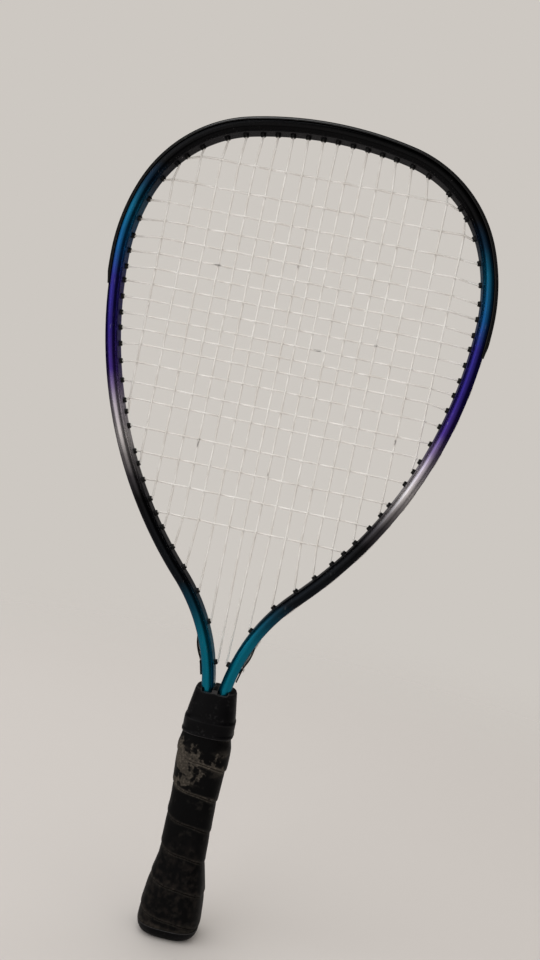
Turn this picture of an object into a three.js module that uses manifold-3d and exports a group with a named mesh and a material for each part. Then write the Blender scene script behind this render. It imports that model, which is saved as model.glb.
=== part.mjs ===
// Racquetball racket standing on its butt. Millimetres, +Z from the butt to the tip of the head,
// +X across the head, hitting face towards -Y, origin at the centre of the butt's flat end.
import * as THREE from "three";
import { mergeVertices } from "three/addons/utils/BufferGeometryUtils.js";
import Module from "manifold-3d";

const wasm = await Module();
wasm.setup();

// Clearances and the overrun of every cut
const fitGap = 0.3;
const cutOverrun = 4;
const weldTolerance = 1e-4;
const bisectRounds = 60;

// Frame tube: a bent aluminium extrusion with a groove along its outer wall
const tubeWidth = 8.2;
const tubeDepth = 18.4;
const tubeWall = 1;
const tubeCornerRadius = 2.6;
const tubeCornerSteps = 2;
const boreChamfer = 1.5;
const grooveHalfWidth = 3.6;
const grooveDepth = 2;

// Centreline of the tube's right half: tangent arcs from the crown down to the straight shafts
const crownRadius = 250;
const crownAngle = THREE.MathUtils.degToRad(12.3);
const shoulderRadius = 84;
const shoulderAngle = THREE.MathUtils.degToRad(55.82);
const sideRadius = 122.8;
const sideAngle = THREE.MathUtils.degToRad(22.3);
const flankRadius = 293.3;
const throatRadius = 125;
const shaftGap = 1.4;
const shaftEndHeight = 53;
const bendSink = 17.2;
const bendSagitta = 0.45;

// Grommet strips and their barrels
const stripThickness = 0.8;
const stripHalfWidth = 3.3;
const barrelWidth = 3.6;
const barrelReach = 2;
const throatFlangeThickness = 1;
const throatFlangeHalfWidth = 4.6;
const throatFlangeAbove = 2.3;
const throatFlangeBelow = 7.5;
const stripTailGap = 1;

// Bumper guard over the top of the head
const bumperReach = 203.6;
const bumperCrest = 1.9;
const bumperSlope = 0.4;
const bumperLipThickness = 0.9;
const bumperLipReach = 1.3;
const channelHalfWidth = 2.6;
const crestHalfWidth = 4;

// Strings. Where they cross the bed is given as shares of its half width and of its height, and
// where they enter the tube as shares of its bent length, from the crown to the shaft.
const stringDiameter = 1.3;
const stringSides = 4;
const stringLift = 0.4;
const weaveRise = 1.7;
const passingShift = 1.7;
const mouthLead = 0.2;
const tailRun = 3;
const tailShift = 0.8;
const loopSagitta = 0.15;
const mainTopShares = [0.0098, 0.0303, 0.0506, 0.0709, 0.0908, 0.1141, 0.14, 0.1766, 0.2186];
const mainBottomShares = [0.9347, 0.8812, 0.8388, 0.8029, 0.7715, 0.7412, 0.6992, 0.6484, 0.5758];
const crossShares = [
  0.0661, 0.1131, 0.1526, 0.1846, 0.2142, 0.2413, 0.2674, 0.295, 0.3227, 0.35,
  0.374, 0.3993, 0.4308, 0.4657, 0.4933, 0.5395, 0.5813, 0.6254, 0.6768,
];
const crossHoleShares = [
  0.2019, 0.2477, 0.2817, 0.311, 0.3361, 0.357, 0.3787, 0.3974, 0.4193, 0.441,
  0.4615, 0.4832, 0.5067, 0.5328, 0.5602, 0.5955, 0.6309, 0.6715, 0.7201,
];

// Handle: every radius is measured along X, and the section is squared off and flatter along Y
const handleSides = 16;
const handleFlatness = 0.9;
const handleSquareness = 2 / 3;
const profileSteps = 4;
const palletCover = 2.6;
const palletRise = 2.9;
const gripTopSwell = 2.1;
const swellLength = 38;
const swellSink = 2;
const flareBottomHeight = 10;
const flareLength = 43;
const flareWidth = 5.4;
const buttFlatRadius = 11.5;
const buttRimHeight = 8;
const buttFloor = 3.6;
const skirtTopHeight = 24;
const skirtThickness = 2;
const tetherHoleRadius = 2.2;
const tetherHoleOffset = 6.2;

// Grip wrap: one strip wound round the handle, with a seam between its turns
const wrapThickness = 2;
const wrapBedding = 0.5;
const wrapPitch = 21.75;
const wrapSeam = 0.6;
const wrapRows = 3;
const frontSeamDrop = 31;
const wrapTopHeight = 150.5;
const wrapTaper = 2.9;
const taperLength = 19.5;

// Rubber collar rolled over the top of the grip
const collarRise = 21.1;
const collarLap = 9.9;
const collarShoulder = 0.9;
const collarStep = 1.8;
const collarLip = 0.4;
const collarSkirt = 0.6;
const collarTopInset = 0.8;
const collarRounding = 1.6;
const tapeThickness = 0.4;
const tapeWidth = 5;
const tapeEdge = 0.5;

// Fasteners inside the handle
const fastenerSides = 8;
const shankRadius = 1.5;
const rivetHeadRadius = 2.4;
const rivetHeadThickness = 0.9;
const rivetSeat = 0.8;
const rivetRise = 50;
const screwHeadRadius = 2.8;
const screwHeadThickness = 1.8;
const screwHeadTop = 10;
const screwTip = 8;
const upperScrewDrop = 14;
const screwSpacing = 16;
const pocketInner = 3.6;
const pocketOuter = 10.5;
const pocketDrop = 6;
const tackShankRadius = 0.8;
const tackHeadRadius = 2;
const tackHeadThickness = 0.5;
const tackSink = 0.7;
const tackOffset = 4.5;
const tackLength = 7;

const finishes = {
  painted: { color: 0x14507a, roughness: 0.28, metalness: 0.75 },
  moulding: { color: 0x111214, roughness: 0.5, metalness: 0 },
  nylon: { color: 0xe6dfd0, roughness: 0.3, metalness: 0 },
  rubber: { color: 0x17171a, roughness: 0.75, metalness: 0 },
  wrap: { color: 0x1c1b1a, roughness: 0.85, metalness: 0 },
  core: { color: 0x54524e, roughness: 0.7, metalness: 0 },
  tape: { color: 0x26262a, roughness: 0.6, metalness: 0 },
  steel: { color: 0xb8bcc2, roughness: 0.35, metalness: 1 },
};

const tubeHalf = tubeWidth / 2;
const halfDepth = tubeDepth / 2;
const shaftOffset = (tubeWidth + shaftGap) / 2;
const stringRadius = stringDiameter / 2;
const boreWidth = stringDiameter + 2 * fitGap;
const grooveFloor = tubeHalf - grooveDepth;
const stripInner = grooveFloor + fitGap;
const stripOuter = stripInner + stripThickness;
const stripMiddle = stripInner + stripThickness / 2;
const flangeInner = tubeHalf + fitGap;
const flangeOuter = flangeInner + throatFlangeThickness;
const cornerRun = stringLift + stringRadius;
const mouthOffset = tubeHalf + barrelReach + mouthLead;
const radialGap = fitGap / handleFlatness;
const wrapInset = wrapThickness + wrapBedding / handleFlatness;
const gripRadius = (halfDepth + fitGap) / handleFlatness + palletCover + wrapInset;
const buttRadius = gripRadius + flareWidth;
const flareTopHeight = flareBottomHeight + flareLength;
const taperStartHeight = wrapTopHeight - taperLength;
const swellEndHeight = taperStartHeight - swellSink;
const swellStartHeight = swellEndHeight - swellLength;
const frontSeamHeight = wrapTopHeight - frontSeamDrop;
const palletTopHeight = wrapTopHeight + palletRise;
const collarTopHeight = wrapTopHeight + collarRise;
const collarLipHeight = wrapTopHeight - collarLap;
const collarStepHeight = wrapTopHeight + collarShoulder;
const tapeTopHeight = wrapTopHeight - tapeEdge;
const tapeBottomHeight = tapeTopHeight - tapeWidth;
const bendEndHeight = collarTopHeight - bendSink;
const rivetHeight = shaftEndHeight + rivetRise;
const upperScrewHeight = shaftEndHeight - upperScrewDrop;
const lowerScrewHeight = upperScrewHeight - screwSpacing;
const tackHeight = (buttRimHeight + skirtTopHeight) / 2;
const cutReach = buttRadius + cutOverrun;
const front = new THREE.Vector3(0, -1, 0);

// A geometry's closed surface as a solid for cutting and joining.
function solid(geometry) {
  const bare = geometry.clone();
  bare.deleteAttribute("normal");
  bare.deleteAttribute("uv");
  const welded = mergeVertices(bare, weldTolerance);
  const triVerts = new Uint32Array(welded.index.array);
  const vertProperties = new Float32Array(welded.attributes.position.array);
  return new wasm.Manifold(new wasm.Mesh({ numProp: 3, vertProperties, triVerts }));
}

function geometryOf(body) {
  const mesh = body.getMesh();
  const positions = new THREE.BufferAttribute(new Float32Array(mesh.vertProperties), 3);
  const index = new THREE.BufferAttribute(new Uint32Array(mesh.triVerts), 1);
  return new THREE.BufferGeometry().setAttribute("position", positions).setIndex(index);
}

function piece(name, shape, finish) {
  const geometry = shape.isBufferGeometry ? shape : geometryOf(shape);
  const mesh = new THREE.Mesh(geometry, new THREE.MeshStandardMaterial(finishes[finish]));
  mesh.name = name;
  return mesh;
}

// A box between two corners.
function block(low, high) {
  const size = high.map((value, axis) => value - low[axis]);
  const middle = high.map((value, axis) => (value + low[axis]) / 2);
  return new THREE.BoxGeometry(...size).translate(...middle);
}

// The arcs of the centreline's right half. A heading is the angle turned clockwise from +X, and
// the flank's angle is the one that brings the throat bend onto its shaft.
function layOutArcs() {
  const arcs = [];
  let at = new THREE.Vector2(0, 0);
  let heading = 0;
  let from = 0;
  const inwardOf = (angle) => new THREE.Vector2(-Math.sin(angle), -Math.cos(angle));
  const addArc = (radius, angle, turn) => {
    const centre = at.clone().addScaledVector(inwardOf(heading), radius * turn);
    arcs.push({ from, angle, radius, turn, centre, heading });
    from += radius * angle;
    heading += angle * turn;
    at = centre.clone().addScaledVector(inwardOf(heading), -radius * turn);
  };
  addArc(crownRadius, crownAngle, 1);
  addArc(shoulderRadius, shoulderAngle, 1);
  addArc(sideRadius, sideAngle, 1);
  const flankCentre = at.clone().addScaledVector(inwardOf(heading), flankRadius);
  const reach = shaftOffset + throatRadius - flankCentre.x;
  const lastHeading = Math.PI - Math.asin(reach / (flankRadius + throatRadius));
  addArc(flankRadius, lastHeading - heading, 1);
  addArc(throatRadius, lastHeading - Math.PI / 2, -1);
  return { arcs, length: from, drop: -at.y };
}

const { arcs, length: bendEnd, drop: bendDrop } = layOutArcs();
const crownHeight = bendEndHeight + bendDrop;
const totalLength = bendEnd + bendEndHeight - shaftEndHeight;

// The tube's rings on the right half, from the crown to the end of the shaft.
function layOutRings() {
  const rings = [];
  for (const { from, angle, radius, turn, centre, heading } of arcs) {
    const steps = Math.ceil(angle / (2 * Math.acos(1 - bendSagitta / radius)));
    for (let step = 0; step < steps; step += 1) {
      const share = step / steps;
      const at = heading + turn * angle * share;
      const x = centre.x + turn * radius * Math.sin(at);
      const z = crownHeight + centre.y + turn * radius * Math.cos(at);
      rings.push({ along: from + radius * angle * share, x, z, heading: at });
    }
  }
  for (const [along, z] of [[bendEnd, bendEndHeight], [totalLength, shaftEndHeight]]) {
    rings.push({ along, x: shaftOffset, z, heading: Math.PI / 2 });
  }
  return rings;
}

const rings = layOutRings();

// The tube at a distance along its centreline from the crown, negative on the left half, on the
// straight stretch between the two nearest rings.
function station(along) {
  const side = along < 0 ? -1 : 1;
  const distance = Math.min(Math.abs(along), totalLength);
  const next = Math.max(rings.findIndex((ring) => ring.along >= distance), 1);
  const [a, b] = [rings[next - 1], rings[next]];
  const share = (distance - a.along) / (b.along - a.along);
  const mix = (measure) => THREE.MathUtils.lerp(measure(a), measure(b), share);
  const point = new THREE.Vector3(side * mix((ring) => ring.x), 0, mix((ring) => ring.z));
  const sine = mix((ring) => Math.sin(ring.heading));
  const cosine = mix((ring) => Math.cos(ring.heading));
  const tangent = new THREE.Vector3(cosine, 0, -side * sine).normalize();
  const inward = new THREE.Vector3(-side * sine, 0, -cosine);
  return { along, point, tangent, inward };
}

// A point beside the centreline, moved inwards into the head and towards the rear.
function beside(along, inwardShift, rearShift = 0) {
  const { point, inward } = station(along);
  return point.addScaledVector(inward, inwardShift).addScaledVector(front, -rearShift);
}

// The distance along the centreline, between two others, at which a falling measure reaches zero.
function bisect(measure, low, high) {
  for (let round = 0; round < bisectRounds; round += 1) {
    const middle = (low + high) / 2;
    if (measure(middle) > 0) low = middle;
    else high = middle;
  }
  return (low + high) / 2;
}

const alongAtHeight = (height) => bisect((along) => station(along).point.z - height, 0, totalLength);

// The rings between two distances along the centreline, with one more at each end.
function stationsBetween(from, to) {
  const marks = rings.flatMap((ring) => (ring.along > 0 ? [-ring.along, ring.along] : [0]));
  const between = marks.filter((mark) => mark > from + fitGap && mark < to - fitGap);
  return [from, ...between.sort((a, b) => a - b), to].map(station);
}

// A path that an extrusion follows through given points, one ring at each.
class StationCurve extends THREE.Curve {
  constructor(points, tangents) {
    super();
    this.points = points;
    this.tangents = tangents;
  }
  getPointAt(share) {
    return this.points[Math.round(share * (this.points.length - 1))].clone();
  }
  getTangentAt(share) {
    return this.tangents[Math.round(share * (this.points.length - 1))].clone();
  }
}

// An outline of depths (towards the front) and inward distances, extruded through points.
function sweep(outline, points, tangents, holes = []) {
  const toPath = (list) => list.map(([depth, inward]) => new THREE.Vector2(depth, inward));
  const shape = new THREE.Shape(toPath(outline));
  shape.holes = holes.map((hole) => new THREE.Path(toPath(hole)));
  const extrudePath = new StationCurve(points, tangents);
  const steps = points.length - 1;
  return new THREE.ExtrudeGeometry(shape, { steps, bevelEnabled: false, extrudePath });
}

function sweepStations(outline, stations, holes) {
  const points = stations.map((item) => item.point);
  return sweep(outline, points, stations.map((item) => item.tangent), holes);
}

// The mirror image of half an outline, added to it so that it closes.
const mirrored = (half) => [...half, ...half.map(([depth, inward]) => [-depth, inward]).reverse()];

// Corner points of the tube's section, from its face round to its wall, swollen by a gap. An arc
// that starts later leaves out the part next to the face.
function tubeCorner(inwardSign, gap, startAngle = 0) {
  const points = [];
  for (let step = 0; step <= tubeCornerSteps; step += 1) {
    const angle = THREE.MathUtils.lerp(startAngle, Math.PI / 2, step / tubeCornerSteps);
    const radius = tubeCornerRadius + gap;
    const depth = halfDepth - tubeCornerRadius + radius * Math.cos(angle);
    const inward = tubeHalf - tubeCornerRadius + radius * Math.sin(angle);
    points.push([depth, inwardSign * inward]);
  }
  return points;
}

function makeFrameTube() {
  const outer = [
    [grooveHalfWidth, -grooveFloor],
    [grooveHalfWidth, -tubeHalf],
    ...tubeCorner(-1, 0).reverse(),
    ...tubeCorner(1, 0),
  ];
  const boreDepth = halfDepth - tubeWall;
  const boreHalf = tubeHalf - tubeWall;
  const shelfHalf = grooveHalfWidth + tubeWall;
  const bore = [
    [shelfHalf, tubeWall - grooveFloor],
    [shelfHalf, -boreHalf],
    [boreDepth - boreChamfer, -boreHalf],
    [boreDepth, boreChamfer - boreHalf],
    [boreDepth, boreHalf - boreChamfer],
    [boreDepth - boreChamfer, boreHalf],
  ];
  const stations = stationsBetween(-totalLength, totalLength);
  let tube = solid(sweepStations(mirrored(outer), stations, [mirrored(bore)]));
  const passage = barrelWidth + 2 * fitGap;
  const depth = tubeHalf + cutOverrun;
  for (const { along } of holes) tube = tube.subtract(solid(radialBlock(along, passage, -depth, depth)));
  return tube.subtract(rivetBore(-1)).subtract(rivetBore(1));
}

// A square block set across the tube, between two distances inwards of the centreline.
function radialBlock(along, width, fromInward, toInward) {
  const { point, tangent, inward } = station(along);
  const basis = new THREE.Matrix4().makeBasis(tangent, front, inward).setPosition(point);
  const half = width / 2;
  return block([-half, -half, fromInward], [half, half, toInward]).applyMatrix4(basis);
}

// Where each string enters the tube, with the mouth of its barrel and a cross string's height.
function findHoles() {
  const bedTop = crownHeight - tubeHalf;
  const bedHeight = bedTop - bendEndHeight;
  const holes = [];
  const addHole = (kind, number, end, along, height) => {
    holes.push({ kind, number, end, along, height, mouth: beside(along, mouthOffset) });
  };
  for (const side of [-1, 1]) {
    mainTopShares.forEach((share, i) => {
      addHole("main", side * (i + 1), "top", side * share * bendEnd);
      addHole("main", side * (i + 1), "bottom", side * mainBottomShares[i] * bendEnd);
    });
    crossShares.forEach((share, i) => {
      addHole("cross", i + 1, side, side * crossHoleShares[i] * bendEnd, bedTop - share * bedHeight);
    });
  }
  return holes;
}

const holes = findHoles();
const findHole = (kind, number, end) =>
  holes.find((hole) => hole.kind === kind && hole.number === number && hole.end === end);
const isThroatHole = (hole) => hole.kind === "main" && hole.end === "bottom" && Math.abs(hole.number) === 1;
const throatAlong = Math.abs(findHole("main", 1, "bottom").along);
const stripLastAlong = Math.abs(findHole("main", 2, "bottom").along);

// A grommet body with the barrels of its holes, bored for the string.
function addBarrels(base, own, root) {
  let body = base;
  const tip = tubeHalf + barrelReach;
  for (const hole of own) body = body.add(solid(radialBlock(hole.along, barrelWidth, -root, tip)));
  for (const hole of own) {
    const bore = radialBlock(hole.along, boreWidth, -flangeOuter - cutOverrun, tip + cutOverrun);
    body = body.subtract(solid(bore));
  }
  return body;
}

function makeBumperGuard(own) {
  const crest = tubeHalf + bumperCrest;
  const lipAngle = Math.asin(1 - bumperLipReach / tubeCornerRadius);
  const half = [
    [channelHalfWidth, -stripOuter],
    [channelHalfWidth, bumperSlope - crest],
    [crestHalfWidth, -crest],
    [halfDepth - tubeCornerRadius, bumperSlope - crest],
    ...tubeCorner(-1, fitGap + bumperLipThickness, lipAngle).slice(0, -1).reverse(),
    ...tubeCorner(-1, fitGap, lipAngle),
    [stripHalfWidth, -flangeInner],
    [stripHalfWidth, -stripInner],
  ];
  const base = solid(sweepStations(mirrored(half), stationsBetween(-bumperReach, bumperReach)));
  return addBarrels(base, own, stripMiddle);
}

// A side strip lies in the groove as far as its last barrel, then runs straight, clear of the bend.
function makeSideStrip(side, own) {
  const outline = mirrored([
    [stripHalfWidth, stripThickness / 2],
    [stripHalfWidth, -stripThickness / 2],
  ]);
  const stations = stationsBetween(bumperReach + stripTailGap, stripLastAlong + barrelWidth);
  const points = stations.map((item) => beside(side * item.along, -stripMiddle));
  const tangents = stations.map((item) => station(side * item.along).tangent.multiplyScalar(side));
  const tailAlong = throatAlong - throatFlangeAbove - stripTailGap;
  const tail = beside(side * tailAlong, -(stripMiddle + flangeOuter - stripOuter));
  const direction = tail.clone().sub(points.at(-1)).normalize();
  points.push(tail);
  tangents.push(direction);
  return addBarrels(solid(sweep(outline, points, tangents)), own, stripMiddle);
}

// A separate grommet at the lowest main string, with a flange flat on the tube's outer wall.
function makeThroatGrommet(side) {
  const outline = mirrored([
    [throatFlangeHalfWidth, throatFlangeThickness / 2],
    [throatFlangeHalfWidth, -throatFlangeThickness / 2],
  ]);
  const middle = flangeInner + throatFlangeThickness / 2;
  const ends = [throatAlong - throatFlangeAbove, throatAlong + throatFlangeBelow];
  const points = ends.map((along) => beside(side * along, -middle));
  const direction = points[1].clone().sub(points[0]).normalize();
  const base = solid(sweep(outline, points, [direction, direction]));
  return addBarrels(base, [findHole("main", side, "bottom")], middle);
}

// How far outside the centreline the string turns at a hole.
const turnOffset = (hole) => (isThroatHole(hole) ? flangeOuter : stripOuter) + cornerRun;

// A string's points through one hole, from the bed outwards, ending beside the hole.
function passOut(hole, towards) {
  const offset = turnOffset(hole);
  const corner = beside(hole.along, -offset);
  corner.addScaledVector(station(hole.along).tangent, towards * cornerRun);
  return [hole.mouth.clone(), beside(hole.along, cornerRun - offset), corner];
}

// The points of a loop outside the tube between two holes of one string. It bends where the strip
// under it bends outwards, and is shifted where it passes the hole of another string.
function loopPoints(a, b, rearShift) {
  const towards = Math.sign(b.along - a.along);
  const within = (along) => (along - a.along) * (along - b.along) < 0;
  const passed = holes.filter((hole) => within(hole.along));
  const knots = [a, ...passed, b].sort((p, q) => towards * (p.along - q.along));
  const shiftOf = (hole) => (hole === a || hole === b ? 0 : rearShift);
  const place = (along, shift) => beside(along, -stripOuter - cornerRun, shift);
  const points = [];
  knots.slice(1).forEach((knot, i) => {
    const last = knots[i];
    const [from, to] = [place(last.along, shiftOf(last)), place(knot.along, shiftOf(knot))];
    for (const along of bendsBetween(last.along, knot.along)) {
      const share = (along - last.along) / (knot.along - last.along);
      const chord = from.clone().lerp(to, share);
      const point = place(along, chord.y);
      if (point.clone().sub(chord).dot(station(along).inward) < -loopSagitta) points.push(point);
    }
    if (knot !== b) points.push(to);
  });
  return [...passOut(a, towards), ...points, ...passOut(b, -towards).reverse()];
}

// Where the tube's rings lie between two holes, in the order of travel and clear of both.
function bendsBetween(from, to) {
  const towards = Math.sign(to - from);
  const marks = rings.flatMap((ring) => [-ring.along, ring.along]);
  const margin = barrelWidth / 2;
  const clear = marks.filter((mark) => Math.min((mark - from) * towards, (to - mark) * towards) > margin);
  return clear.sort((p, q) => towards * (p - q)).filter((mark, i) => mark !== clear[i - 1]);
}

// A short end of string beside its last hole.
function tailPoints(hole, towards, rearShift) {
  const points = passOut(hole, towards);
  points.push(beside(hole.along + towards * tailRun, -turnOffset(hole), rearShift));
  return points;
}

// The main string: outermost left string to outermost right, in one piece.
function mainStringPoints() {
  const count = mainTopShares.length;
  const order = [];
  for (let n = count; n >= 1; n -= 1) order.push(-n);
  for (let n = 1; n <= count; n += 1) order.push(n);
  const first = findHole("main", order[0], "bottom");
  const points = tailPoints(first, -1, tailShift).reverse();
  order.slice(0, -1).forEach((number, i) => {
    const end = i % 2 === 0 ? "top" : "bottom";
    const here = findHole("main", number, end);
    points.push(...loopPoints(here, findHole("main", order[i + 1], end), passingShift));
  });
  const last = findHole("main", order.at(-1), order.length % 2 === 0 ? "bottom" : "top");
  points.push(...tailPoints(last, 1, tailShift));
  return points;
}

// The points at which one cross string passes over and under the main strings.
function weavePoints(number, side) {
  const { height, mouth } = findHole("cross", number, side);
  const reach = Math.abs(mouth.x) - stringDiameter;
  const bottoms = holes.filter((hole) => hole.kind === "main" && hole.end === "bottom");
  const crossings = bottoms.flatMap((bottom) => {
    const top = findHole("main", bottom.number, "top");
    const share = (height - bottom.mouth.z) / (top.mouth.z - bottom.mouth.z);
    const x = THREE.MathUtils.lerp(bottom.mouth.x, top.mouth.x, share);
    if (share < 0 || share > 1 || Math.abs(x) > reach) return [];
    const place = bottom.number < 0 ? bottom.number + 1 : bottom.number;
    const rise = (place + number) % 2 === 0 ? weaveRise : -weaveRise;
    return new THREE.Vector3(x, rise, height);
  });
  return crossings.sort((a, b) => side * (b.x - a.x));
}

// The cross string: woven from the top of the bed to its bottom, in one piece.
function crossStringPoints() {
  const points = tailPoints(findHole("cross", 1, 1), -1, -tailShift).reverse();
  crossShares.forEach((share, i) => {
    const number = i + 1;
    const side = i % 2 === 0 ? 1 : -1;
    points.push(...weavePoints(number, side));
    const here = findHole("cross", number, -side);
    const next = findHole("cross", number + 1, -side);
    if (next) points.push(...loopPoints(here, next, -passingShift));
    else points.push(...tailPoints(here, -side, -tailShift));
  });
  return points;
}

function makeString(points) {
  const outline = [];
  for (let i = 0; i < stringSides; i += 1) {
    const angle = (2 * Math.PI * i) / stringSides;
    outline.push([stringRadius * Math.cos(angle), stringRadius * Math.sin(angle)]);
  }
  const tangents = points.map((point, i) => {
    const before = points[Math.max(i - 1, 0)];
    const after = points[Math.min(i + 1, points.length - 1)];
    const arriving = point.clone().sub(before).normalize();
    return after.clone().sub(point).normalize().add(arriving).normalize();
  });
  return sweep(outline, points, tangents);
}

// The least gap between stretches of one string that are not neighbours, measured on points.
function leastStringGap(points) {
  const samples = [];
  let travelled = 0;
  points.slice(1).forEach((point, i) => {
    const steps = Math.ceil(point.distanceTo(points[i]) / stringDiameter);
    for (let step = 1; step <= steps; step += 1) {
      const sample = points[i].clone().lerp(point, step / steps);
      samples.push({ sample, travelled: travelled + (point.distanceTo(points[i]) * step) / steps });
    }
    travelled += point.distanceTo(points[i]);
  });
  let least = Infinity;
  samples.forEach((a, i) => {
    for (const b of samples.slice(i + 1)) {
      if (b.travelled - a.travelled < tubeDepth) continue;
      least = Math.min(least, a.sample.distanceTo(b.sample));
    }
  });
  return { gap: least - stringDiameter, length: travelled };
}

// The radius of the wrapped grip at a height.
function gripRadiusAt(height) {
  const clamp = THREE.MathUtils.clamp;
  const swell = clamp((height - swellStartHeight) / (swellEndHeight - swellStartHeight), 0, 1);
  const flare = clamp((flareTopHeight - height) / (flareTopHeight - flareBottomHeight), 0, 1);
  const taper = Math.max((height - taperStartHeight) / (wrapTopHeight - taperStartHeight), 0);
  const swollen = (gripTopSwell * (1 - Math.cos(Math.PI * swell))) / 2;
  return gripRadius + swollen + flareWidth * Math.sin((Math.PI / 2) * flare) - wrapTaper * taper;
}

// Points of the handle's outline between two heights, moved inwards by an inset.
function handleOutline(from, to, inset) {
  const marks = [from, to, taperStartHeight];
  for (let step = 0; step <= profileSteps; step += 1) {
    marks.push(THREE.MathUtils.lerp(flareBottomHeight, flareTopHeight, step / profileSteps));
    marks.push(THREE.MathUtils.lerp(swellStartHeight, swellEndHeight, step / profileSteps));
  }
  const kept = marks.filter((mark) => mark >= from && mark <= to).sort((a, b) => a - b);
  const heights = kept.filter((mark, i) => i === 0 || mark - kept[i - 1] > fitGap);
  return heights.map((height) => [gripRadiusAt(height) - inset, height]);
}

// A point of the handle's squared-off section at an angle from +X.
function sectionPoint(angle, radius) {
  const shaped = (value) => Math.sign(value) * Math.abs(value) ** handleSquareness;
  return [radius * shaped(Math.cos(angle)), radius * handleFlatness * shaped(Math.sin(angle))];
}

// A solid with the handle's section, drawn from radii and heights.
function handleSolid(outline) {
  const profile = outline.map(([radius, height]) => new THREE.Vector2(radius, height));
  const geometry = new THREE.LatheGeometry(profile, handleSides).rotateX(Math.PI / 2);
  const position = geometry.getAttribute("position");
  for (let i = 0; i < position.count; i += 1) {
    const [x, y] = [position.getX(i), position.getY(i)];
    position.setXY(i, ...sectionPoint(Math.atan2(y, x), Math.hypot(x, y)));
  }
  return solid(geometry);
}

const closed = (outline) => [...outline, outline[0]];

// The height of the seam below a turn of the wrap, by the angle wound from the front.
const seamHeight = (angle) => frontSeamHeight - (wrapPitch * angle) / (2 * Math.PI);

// The grip wrap: a flat strip wound down the handle, cut level at its top and its bottom.
function makeGripWrap() {
  const step = (2 * Math.PI) / handleSides;
  const bottom = buttRimHeight + fitGap;
  const first = Math.floor(((frontSeamHeight - wrapTopHeight) / wrapPitch - 1) * handleSides);
  const last = Math.ceil(((frontSeamHeight - bottom) / wrapPitch + 1) * handleSides);
  const shares = [];
  for (let row = 0; row < wrapRows; row += 1) shares.push(row / (wrapRows - 1));
  const vertices = [];
  const addPoint = (turn, share, inset) => {
    const height = seamHeight(turn * step) + wrapSeam / 2 + share * (wrapPitch - wrapSeam);
    const radius = gripRadiusAt(height) - inset;
    vertices.push(...sectionPoint(turn * step - Math.PI / 2, radius), height);
  };
  for (let turn = first; turn <= last; turn += 1) {
    for (const share of shares) addPoint(turn, share, 0);
    for (const share of shares.toReversed()) addPoint(turn, share, wrapThickness);
  }
  const strip = solid(ringedGeometry(vertices, 2 * wrapRows));
  return strip.intersect(solid(block([-cutReach, -cutReach, bottom], [cutReach, cutReach, wrapTopHeight])));
}

// A closed surface through rings of points, with a flat fan over each end.
function ringedGeometry(vertices, ringSize) {
  const index = [];
  const ringCount = vertices.length / ringSize / 3;
  for (let ring = 0; ring < ringCount - 1; ring += 1) {
    for (let side = 0; side < ringSize; side += 1) {
      const a = ring * ringSize + side;
      const b = ring * ringSize + ((side + 1) % ringSize);
      index.push(a, a + ringSize, b, b, a + ringSize, b + ringSize);
    }
  }
  const end = (ringCount - 1) * ringSize;
  for (let row = 0; row < ringSize / 2 - 1; row += 1) {
    const [a, b, c, d] = [row, row + 1, ringSize - row - 2, ringSize - row - 1];
    index.push(a, b, d, b, c, d);
    index.push(end + a, end + d, end + b, end + b, end + d, end + c);
  }
  const geometry = new THREE.BufferGeometry();
  geometry.setAttribute("position", new THREE.Float32BufferAttribute(vertices, 3));
  return geometry.setIndex(index);
}

// The least gap across the wrap's seam, measured on points of both its edges.
function leastSeamGap() {
  const count = handleSides ** 2;
  const edge = (rise) => {
    const points = [];
    for (let i = 0; i <= count; i += 1) {
      const angle = (2 * Math.PI * i) / count;
      points.push(new THREE.Vector3(...sectionPoint(angle, gripRadius), seamHeight(angle) + rise));
    }
    return points;
  };
  const upper = edge(wrapSeam / 2);
  return Math.min(...edge(-wrapSeam / 2).flatMap((low) => upper.map((high) => low.distanceTo(high))));
}

// A fastener turned about the Z axis, drawn from radii and heights.
function turnedPin(outline) {
  const profile = outline.map(([radius, height]) => new THREE.Vector2(radius, height));
  return new THREE.LatheGeometry(profile, fastenerSides).rotateX(Math.PI / 2);
}

function pinBetween(radius, from, to) {
  return turnedPin([[0, from], [radius, from], [radius, to], [0, to]]);
}

const alongY = (geometry, x, z) => geometry.rotateX(-Math.PI / 2).translate(x, 0, z);
const alongX = (geometry, side, y, z) => geometry.rotateY((side * Math.PI) / 2).translate(0, y, z);

const rivetSeatAt = halfDepth + fitGap + rivetSeat;

function makeRivet(side) {
  const tip = rivetSeatAt + rivetHeadThickness;
  const rivet = turnedPin([
    [0, -tip],
    [rivetHeadRadius, -tip],
    [rivetHeadRadius, -rivetSeatAt],
    [shankRadius, -rivetSeatAt],
    [shankRadius, rivetSeatAt],
    [rivetHeadRadius, rivetSeatAt],
    [rivetHeadRadius, tip],
    [0, tip],
  ]);
  return alongY(rivet, side * shaftOffset, rivetHeight);
}

function rivetBore(side) {
  const seat = rivetSeatAt - fitGap;
  const place = (pin) => solid(alongY(pin, side * shaftOffset, rivetHeight));
  const shank = place(pinBetween(shankRadius + fitGap, -cutReach, cutReach));
  const rear = place(pinBetween(rivetHeadRadius + fitGap, seat, cutReach));
  return shank.add(rear).add(place(pinBetween(rivetHeadRadius + fitGap, -cutReach, -seat)));
}

function makeScrew(height) {
  const seat = screwHeadTop - screwHeadThickness;
  const screw = turnedPin([
    [0, -screwTip],
    [shankRadius, -screwTip],
    [shankRadius, seat],
    [screwHeadRadius, seat],
    [screwHeadRadius, screwHeadTop],
    [0, screwHeadTop],
  ]);
  return alongY(screw, 0, height);
}

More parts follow.
